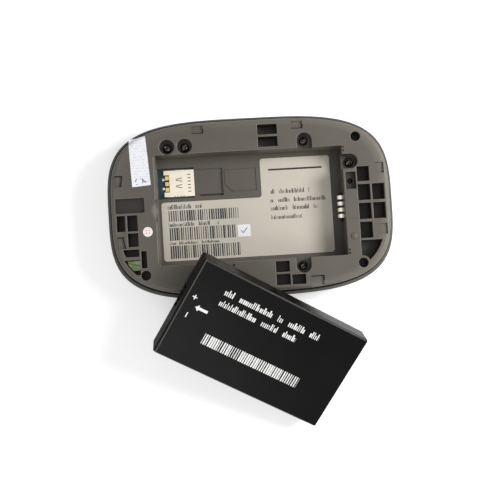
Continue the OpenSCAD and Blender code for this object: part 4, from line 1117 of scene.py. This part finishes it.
class HOTSPOT_OT_labels(Operator):
    """Information label, paper stickers and the moisture dot"""

    bl_idname = "hotspot.labels"
    bl_label = "Labels"

    def execute(self, context):
        colours = context.scene.hotspot_colours
        label, paper = colours.label, colours.paper
        stock = printed("Coated label stock", (6, 3.0), (opaque(label, 0.96), opaque(label, 1.04)), 0.42,
                        self.label_marks, ink_roughness=0.3)
        settle(self.label_sheet(), "label_sheet", "device", stock, ["info_label"])
        check = round_edges(new_box(*corners("check_sticker")), along(Z), 0.25, 3)
        bright = printed("White check paper", (0.4, 2.0), (opaque(paper, 0.96), opaque(paper, 1.03)), 0.7,
                         self.check_marks)
        settle(check, "check_square", "device", bright, ["check_sticker"])
        plain = printed("Serial sticker paper", (0.35, 4.0), (opaque(paper, 0.95), opaque(paper, 1.04)), 0.75,
                        self.sticker_marks, relief=0.02)
        sticker = self.paper(context.scene.hotspot_sizes.curl / MM)
        settle(sticker, "paper_strip", "device", plain, ["serial_sticker"])
        low, high = corners("moisture_dot")
        dot = new_rod((low + high) / 2, (high.x - low.x) / 2, low.z, high.z, 64)
        round_edges(dot, at(Z, high.z), 0.06, 2)
        blotting = printed("Moisture dot paper", (0.3, 2.0), (opaque("#F2E6E2"), opaque("#FBF3F0")), 0.8,
                           self.dot_marks)
        settle(dot, "moisture_disc", "device", blotting, ["moisture_dot"])
        return {"FINISHED"}

    def label_sheet(self):
        """A sheet with rounded corners, cut out round the card's place."""
        low, high = corners("info_label")
        notch_x, notch_y = LABEL_NOTCH
        notch = new_box((low.x - CUT, notch_y, low.z - CUT), (notch_x, high.y + CUT, high.z + CUT))
        return round_edges(combine(new_box(low, high), [notch], "DIFFERENCE"), along(Z), LABEL_CORNER, 6, 60)

    def label_marks(self, coords):
        """Rows of bars and ticks in ink that is slightly glossier than the smooth, faintly mottled coat."""
        x, y, _ = add("SeparateXYZ", coords).node.outputs
        rows = [bars(x, y, box, seed) for seed, box in LABEL_BARS.items()]
        rows += [writing(x, y, box, seed) for seed, box in LABEL_LINES.items()]
        rows.append(area(x, y, LABEL_RULE))
        return [(chain("Math MAXIMUM", *rows), bpy.context.scene.hotspot_colours.ink)]

    def check_marks(self, coords):
        """A tick in pen on thin bright paper."""
        x, y, _ = add("SeparateXYZ", coords).node.outputs
        low, high = corners("check_sticker")
        across = add("Math SUBTRACT", x, (low.x + high.x) / 2)
        up = add("Math SUBTRACT", y, (low.y + high.y) / 2)
        strokes = []
        for start, end, slope in ((-1.2, -0.4, -1.2), (-0.4, 1.3, 1.1)):
            line = add("Math MULTIPLY_ADD", add("Math ADD", across, 0.4), -slope,
                       add("Math ADD", up, 0.8))
            span = add("Math COMPARE", across, (start + end) / 2, (end - start) / 2)
            strokes.append(add("Math MULTIPLY", add("Math COMPARE", line, 0, 0.25), span))
        pen = add("Math MULTIPLY", chain("Math MAXIMUM", *strokes), 0.8)
        return [(pen, bpy.context.scene.hotspot_colours.ink)]

    def sticker_marks(self, coords):
        """Rows of faint grey marks on fibrous paper and a smudge of blue ink at one end."""
        x, y, _ = add("SeparateXYZ", coords).node.outputs
        cells = add("VectorMath DIVIDE", coords, STICKER_CELL)
        in_x, in_y, _ = add("SeparateXYZ", add("VectorMath FRACTION", cells)).node.outputs
        lot = add("TexWhiteNoise 3D", add("VectorMath FLOOR", cells))
        marks = chain(
            "Math MULTIPLY", add("Math GREATER_THAN", lot, 0.45), add("Math LESS_THAN", in_y, 0.45),
            add("Math LESS_THAN", in_x, 0.7), area(x, y, STICKER_MARKS), 0.26)
        spots = add("Math GREATER_THAN", add("TexNoise", coords, 1 / 1.3), 0.56)
        smear = chain("Math MULTIPLY", spots, area(x, y, STICKER_SMEAR), 0.75)
        return [(marks, "#6E748C"), (smear, "#33507F")]

    def dot_marks(self, coords):
        """Four pale red spots on blotting paper, which water would spread."""
        low, high = corners("moisture_dot")
        middle = (low + high) / 2
        x, y, _ = add("SeparateXYZ", coords).node.outputs
        sides = [add("Math ABSOLUTE", add("Math SUBTRACT", value, centre))
                 for value, centre in ((x, middle.x), (y, middle.y))]
        spots = add("MapRange", away(*sides, (0.55, 0.55)), 0.08, 0.16, 1, 0)
        return [(add("Math MULTIPLY", spots, 0.7), "#E0A9A6")]

    def paper(self, curl):
        """A thin sheet laid over the frame's rounded edge, lifting a little at its free corners."""
        low_west, low_east, high_west, high_east = (Vector(corner) for corner in STICKER_CORNERS)
        bpy.ops.mesh.primitive_grid_add(x_subdivisions=28, y_subdivisions=72, size=2)
        sheet = bpy.context.object
        for point in sheet.data.vertices:
            u, v = (point.co.x + 1) / 2, (point.co.y + 1) / 2
            spot = low_west.lerp(low_east, u).lerp(high_west.lerp(high_east, u), v)
            lift = curl * (abs(2 * u - 1) ** 4 * (1 - v) ** 3 + 0.35 * (1 - v) ** 6)
            point.co = spot.x, spot.y, frame_height(spot.x, spot.y) + STICKER_GAP + lift
        modify(sheet, "SOLIDIFY", thickness=STICKER_T, offset=1)
        return sheet


def frame_height(x, y):
    """Height of the rear frame's outside above a point, whose inset is found by halving."""
    low, high = 0, 20
    for _ in range(40):
        inset = (low + high) / 2
        out = abs(x / (HALF_L - inset)) ** OUTLINE_POWER + abs(y / (HALF_W - inset)) ** OUTLINE_POWER
        low, high = (inset, high) if out < 1 else (low, inset)
    over = FRAME_INSET + FRAME_ROUND - inset
    if over <= 0:
        return FRAME_TOP
    return FRAME_TOP - FRAME_ROUND + math.sqrt(max(0, FRAME_ROUND ** 2 - over ** 2))


class HOTSPOT_OT_battery(Operator):
    """Battery pack: printed sleeve, moulded end and what they hold"""

    bl_idname = "hotspot.battery"
    bl_label = "Battery pack"

    def execute(self, context):
        colours = context.scene.hotspot_colours
        film = self.film(colours)
        settle(self.sleeve(), "pack_sleeve", "battery", film, ["battery_sleeve"], LEAN)
        nylon = moulded("Battery end, black nylon", colours.black, 0.14, 0.015, 0.6, LEAN, 0.08)
        settle(self.end(), "pack_end", "battery", nylon, ["battery_end_cap"], LEAN)
        finish_nodes(sheet_metal("Aluminium cell can", "#9A9DA1", 0.35), "battery_cell")
        finish_nodes(board_laminate("Protection board laminate", "#2C6B4C"), "battery_board")
        finish_nodes(sheet_metal("Gold-plated pads", colours.gold, 0.22, 0.2), "battery_pads")
        finish_nodes(sheet_metal("Nickel tabs", "#B9B8B2", 0.3), "cell_tabs")
        return {"FINISHED"}

    def bar(self, start, stop, inset, radius):
        """A bar along the pack, inside its sides by an inset, with its long edges rounded."""
        _, half_w, thick = PACK
        box = new_box((start, inset - half_w, inset), (stop, half_w - inset, thick - inset))
        return round_edges(box, along(X), radius, 6) if radius else box

    def sleeve(self):
        """Film round the cell that laps over the moulded end."""
        half_l = PACK[0]
        start, end_stop = FILM_START - half_l, PACK_END_L - half_l
        film = self.bar(start, half_l, 0, PACK_ROUND)
        round_edges(film, at(X, half_l), PACK_FAR_ROUND, 4)
        round_edges(film, at(X, start), FILM_EDGE, 2)
        over_end = self.bar(start - CUT, end_stop, FILM_LIP, 0.8)
        core = self.bar(end_stop - CUT, half_l - FILM_T, FILM_T, 0)
        return combine(film, [over_end, core], "DIFFERENCE")

    def end(self):
        """Hollow moulded end with a hole at each contact pad."""
        half_l = PACK[0]
        stop = PACK_END_L - half_l
        end = self.bar(-half_l, stop, FIT, PACK_ROUND)
        round_edges(end, at(X, -half_l), PACK_END_ROUND, 4)
        cuts = [self.bar(PACK_END_FACE - half_l, stop + CUT, PACK_END_WALL, 0)]
        for number in CONTACTS:
            low, high = corners(f"contact_{number}")
            y, z = -(low.y + high.y) / 2, (low.z + high.z) / 2 - FLOOR_Z
            cuts.append(new_box((-half_l - CUT, y - PAD_HOLE[0] / 2, z - PAD_HOLE[1] / 2),
                                (PACK_END_FACE + CUT - half_l, y + PAD_HOLE[0] / 2, z + PAD_HOLE[1] / 2)))
        return combine(end, cuts, "DIFFERENCE")

    def film(self, colours):
        """Printed polyester film: near black, a soft sheen with fine drawing lines, white ink and painted
        highlights.
        """
        material, coords = new_material("Printed polyester sleeve", LEAN)
        x, y, z = add("SeparateXYZ", coords).node.outputs
        ink = add("Math MULTIPLY", self.ink_marks(x, y), add("Math GREATER_THAN", z, PACK[2] / 2))
        cloud = add("TexNoise", coords, 1 / 14, 3.0)
        drawn = add("TexNoise", add("Mapping", {"Vector": coords, "Scale": (0.05, 1, 1)}), 1 / 0.3, 3.0)
        base = add("Mix RGBA", cloud, opaque(colours.sleeve, 0.85), opaque(colours.sleeve, 1.2))
        # Painted highlights along the film's edges
        base = add("Mix RGBA", self.painted_highlight(x, y, z), base, opaque("#77756F"))
        add("OutputMaterial", add("BsdfPrincipled", {
            "Base Color": add("Mix RGBA", ink, base, opaque("#F4F4F2")), "Specular IOR Level": 0.08,
            "Roughness": add("MapRange", cloud, 0.3, 0.7, 0.24, 0.32),
            "Normal": add("Bump", {"Height": drawn, "Strength": 0.1, "Distance": 0.02 * MM})}))
        return material

    def painted_highlight(self, x, y, z):
        """Painted highlights along the film's cut end and its long upper edges."""
        half_l, half_w, thick = PACK
        end = add("MapRange", x, 1.25 - half_l, 0.85 - half_l, 0, 0.8)
        side = add("MapRange", add("Math ABSOLUTE", y), half_w - 0.75, half_w - 0.3, 0, 0.35)
        upper = add("MapRange", z, thick - 0.75, thick - 0.3)
        return add("Math MULTIPLY", add("Math MAXIMUM", end, side), upper)

    def ink_marks(self, x, y):
        """Rows of ticks and bars, the polarity marks, and the arrow that shows which end goes in first."""
        made = [writing(x, y, box, seed) for seed, box in PACK_LINES.items()]
        made.append(bars(x, y, PACK_BARS, 61, 0.9))
        made += [area(x, y, box) for box in PACK_SIGNS]
        tip, low, _, high = PACK_ARROW
        aside = add("Math ABSOLUTE", add("Math SUBTRACT", y, (low + high) / 2))
        head = add("Math LESS_THAN", aside, add("Math SUBTRACT", x, tip))
        made.append(add("Math MULTIPLY", head, area(x, y, PACK_ARROW)))
        return chain("Math MAXIMUM", *made)


class HOTSPOT_OT_keys_and_ports(Operator):
    """Power and reset buttons, and the finish of the sockets and switches"""

    bl_idname = "hotspot.keys_and_ports"
    bl_label = "Keys and ports"

    def execute(self, context):
        colours = context.scene.hotspot_colours
        black = moulded("Button POM, black", colours.black, 0.12, 0.01, 0.42, gloss=0.08)
        low, high = corners("power_button")
        step_x, flange, step_z = KEY_FLANGE
        key = pill(low.x + step_x, high.x - step_x, low.z + step_z, high.z - step_z, low.y, high.y)
        round_edges(key, at(Y, high.y), KEY_ROUND, 4)
        combine(key, [pill(low.x, high.x, low.z, high.z, low.y, low.y + flange)], "UNION")
        settle(key, "power_key_cap", "power_key", black, ["power_button"])
        low, high = corners("reset_button")
        seat = FRAME_TOP - RESET_DEPTH - FRAME_SKIN - FIT
        foot = seat - RESET_FLANGE
        spans = [(seat - OVERLAP, high.z), (foot, seat), (low.z, foot + 2 * OVERLAP)]
        button, flange, stem = (
            new_rod(RESET_SPOT, radius, *span, 40) for radius, span in zip(RESET_KEY_R, spans))
        round_edges(button, at(Z, high.z), 0.2, 4)
        combine(button, [flange, stem], "UNION")
        settle(button, "reset_key_cap", "reset_key", black, ["reset_button"])
        steel = sheet_metal("Drawn socket steel", "#C3C4C5", 0.28)
        finish_nodes(steel, "usb_shell", "power_switch", "reset_switch")
        finish_nodes(moulded("Socket tongue polymer", colours.black, 0.1, 0.01, 0.4), "usb_tongue")
        finish_nodes(sheet_metal("Gold-plated socket brass", colours.gold, 0.2, 0.15), *JACKS)
        return {"FINISHED"}


class HOTSPOT_OT_tuner(Operator):
    """Small green board in the south-west pocket"""

    bl_idname = "hotspot.tuner"
    bl_label = "Tuner board"

    def execute(self, context):
        low, high = corners("tuner_board")
        outline = slab(TUNER_POCKET[4] + TUNER_GAP, low.z - CUT, high.z + CUT)
        plate = combine(new_box(low, high), [outline], "INTERSECT")
        round_edges(plate, at(Z, high.z), 0.15, 3, 50)
        settle(plate, "tuner_plate", "device", self.finish(), ["tuner_board"])
        return {"FINISHED"}

    def finish(self):
        """Bare laminate: cloudy pale green with a darker copper strip under it."""
        material, coords = new_material("Pale green laminate")
        x, y, _ = add("SeparateXYZ", coords).node.outputs
        cloud = add("MapRange", add("TexNoise", coords, 1 / 1.1, 3.0), 0.35, 0.65)
        strip = add("Math COMPARE", add("Math MULTIPLY_ADD", x, 0.25, y), -30.55, 0.35)
        tint = add("Mix RGBA", cloud, opaque("#C8E59E"), opaque("#F3FBE0"))
        add("OutputMaterial", add("BsdfPrincipled", {
            "Base Color": add("Mix RGBA", strip, tint, opaque("#9CC27A")), "Roughness": 0.5}))
        return material


class HOTSPOT_OT_inner_parts(Operator):
    """Finishes of the display, the main board and the other inner parts"""

    bl_idname = "hotspot.inner_parts"
    bl_label = "Inner parts"

    def execute(self, context):
        # The lens shows a greyer dark screen and a small window over the status light
        half_x, half_y = (half - SCREEN_MARGIN for half in DISPLAY_HALF)
        pipe_low, pipe_high = corners("light_pipe")
        fields = [((-half_x, -half_y, half_x, half_y), "#1C1F24"), ((*pipe_low.xy, *pipe_high.xy), "#3C4248")]
        finish_nodes(glazing("Black cover glass", "#08090A", 0.05, coat=0.3, fields=fields), "display_lens")
        finish_nodes(moulded("Foam tape, black", "#191919", 0.2, 0.03, 0.8), "lens_tape")
        finish_nodes(glazing("Display stack", "#23262C", 0.12), "display_panel")
        finish_nodes(glazing("Polyimide flat cable", "#B87A2E", 0.3), "display_ribbon")
        finish_nodes(board_laminate("Main board laminate", context.scene.hotspot_colours.board), "main_board")
        finish_nodes(sheet_metal("Tinned shield steel", "#C9CACB", 0.3), "modem_shield", "wifi_shield")
        finish_nodes(moulded("Chip moulding compound", "#1D1E20", 0.1, 0.008, 0.6), "modem_chip", "wifi_chip")
        foil = sheet_metal("Antenna foil under dark film", "#2E2824", 0.4, metallic=0.2)
        finish_nodes(foil, "antenna_west", "antenna_east", "wifi_antenna")
        finish_nodes(glazing("Clear acrylic", "#DCE6EA", 0.08, transmission=0.7), "status_led", "light_pipe")
        return {"FINISHED"}


# Stage

AMBIENT = 0.4
FLOOR_GLOW = 0.42
# Size in metres, and how far in millimetres it lies under the object
FLOOR_SIZE = 6
FLOOR_DROP = 0.1
SENSOR = 36
# Place in millimetres, and pitch, roll and turn in degrees
CAMERA_SPOT = (-13.051, -28.871, 295.831)
CAMERA_ANGLES = (2.6615, -3.4075, 2.3407)
# Place and size in metres, and power
LIGHTS = {"key_light": ((0.34, 0.05, 0.3), 0.2, 1.7), "fill_light": ((-0.12, -0.55, 0.5), 0.4, 1.3)}


def shown_rays(tree):
    """1 for what the camera sees directly, in metal or through glass."""
    path = add("LightPath", tree=tree).node.outputs
    return chain("Math MAXIMUM", path["Is Camera Ray"], path["Is Glossy Ray"], path["Is Transmission Ray"])


class HOTSPOT_OT_stage(Operator):
    """Floor, soft lights and the camera"""

    bl_idname = "hotspot.stage"
    bl_label = "Stage"

    def execute(self, context):
        context.scene.view_settings.view_transform = "Standard"
        self.make_floor()
        self.make_world(context.scene)
        for name, (spot, size, power) in LIGHTS.items():
            self.make_light(name, spot, size, power)
        self.make_camera(context.scene)
        return {"FINISHED"}

    def make_floor(self):
        """A pale matt floor that is white to the camera and keeps a soft shadow."""
        bpy.ops.mesh.primitive_plane_add(size=FLOOR_SIZE, location=(0, 0, -FLOOR_DROP * MM))
        floor = bpy.context.object
        floor.name = floor.data.name = "floor"
        material = bpy.data.materials.new("Pale studio floor")
        tree = new_tree(material)
        matt = add("BsdfPrincipled", {"Base Color": opaque("#F6F6F6"), "Roughness": 0.9}, tree=tree)
        glow = add("Emission", {"Strength": add("Math MULTIPLY", shown_rays(tree), FLOOR_GLOW)})
        add("OutputMaterial", add("AddShader", matt, glow))
        cover(floor, material)

    def make_world(self, scene):
        """A white surrounding that lights the object softly."""
        world = scene.world = bpy.data.worlds.new("Studio")
        strength = add("MapRange", shown_rays(new_tree(world)), 0, 1, AMBIENT, 1)
        add("OutputWorld", add("Background", (1, 1, 1, 1), strength))

    def make_light(self, name, spot, size, power):
        """A round soft lamp that points at the origin."""
        bpy.ops.object.light_add(type="AREA", location=spot)
        light = bpy.context.object
        light.name = light.data.name = name
        light.data.shape = "DISK"
        light.data.size = size
        light.data.energy = power
        light.rotation_euler = (-Vector(spot)).to_track_quat("-Z", "Y").to_euler()

    def make_camera(self, scene):
        """A camera that looks almost straight down."""
        bpy.ops.object.camera_add()
        camera = bpy.context.object
        camera.name = camera.data.name = "camera"
        pitch, roll, turn = (math.radians(angle) for angle in CAMERA_ANGLES)
        turned = Matrix.Rotation(pitch, 4, "X") @ Matrix.Rotation(roll, 4, "Z") @ Matrix.Rotation(-turn, 4, "Y")
        camera.matrix_world = Matrix.Translation(Vector(CAMERA_SPOT) * MM) @ turned
        camera.data.lens = scene.hotspot_sizes.lens
        camera.data.sensor_width = SENSOR
        camera.data.clip_start = 0.01
        scene.camera = camera


OPERATORS = [
    HOTSPOT_OT_front_housing, HOTSPOT_OT_rear_frame, HOTSPOT_OT_screws, HOTSPOT_OT_card_reader,
    HOTSPOT_OT_contacts, HOTSPOT_OT_labels, HOTSPOT_OT_battery, HOTSPOT_OT_keys_and_ports, HOTSPOT_OT_tuner,
    HOTSPOT_OT_inner_parts, HOTSPOT_OT_stage,
]


class HOTSPOT_PT_panel(Panel):
    """Lists the steps of the build"""

    bl_idname = "HOTSPOT_PT_panel"
    bl_label = "Mobile hotspot"
    bl_space_type = "VIEW_3D"
    bl_region_type = "UI"
    bl_category = "Hotspot"

    def draw(self, context):
        for operator in OPERATORS:
            self.layout.operator(operator.bl_idname)


CLASSES = [HotspotColours, HotspotSizes, *OPERATORS, HOTSPOT_PT_panel]


def register():
    for cls in CLASSES:
        bpy.utils.register_class(cls)
    bpy.types.Scene.hotspot_colours = PointerProperty(type=HotspotColours)
    bpy.types.Scene.hotspot_sizes = PointerProperty(type=HotspotSizes)


def unregister():
    del bpy.types.Scene.hotspot_sizes
    del bpy.types.Scene.hotspot_colours
    for cls in reversed(CLASSES):
        bpy.utils.unregister_class(cls)


def main():
    register()
    bpy.ops.hotspot.front_housing()
    bpy.ops.hotspot.rear_frame()
    bpy.ops.hotspot.screws()
    bpy.ops.hotspot.card_reader()
    bpy.ops.hotspot.contacts()
    bpy.ops.hotspot.labels()
    bpy.ops.hotspot.battery()
    bpy.ops.hotspot.keys_and_ports()
    bpy.ops.hotspot.tuner()
    bpy.ops.hotspot.inner_parts()
    bpy.ops.hotspot.stage()


if __name__ == "__main__":
    main()
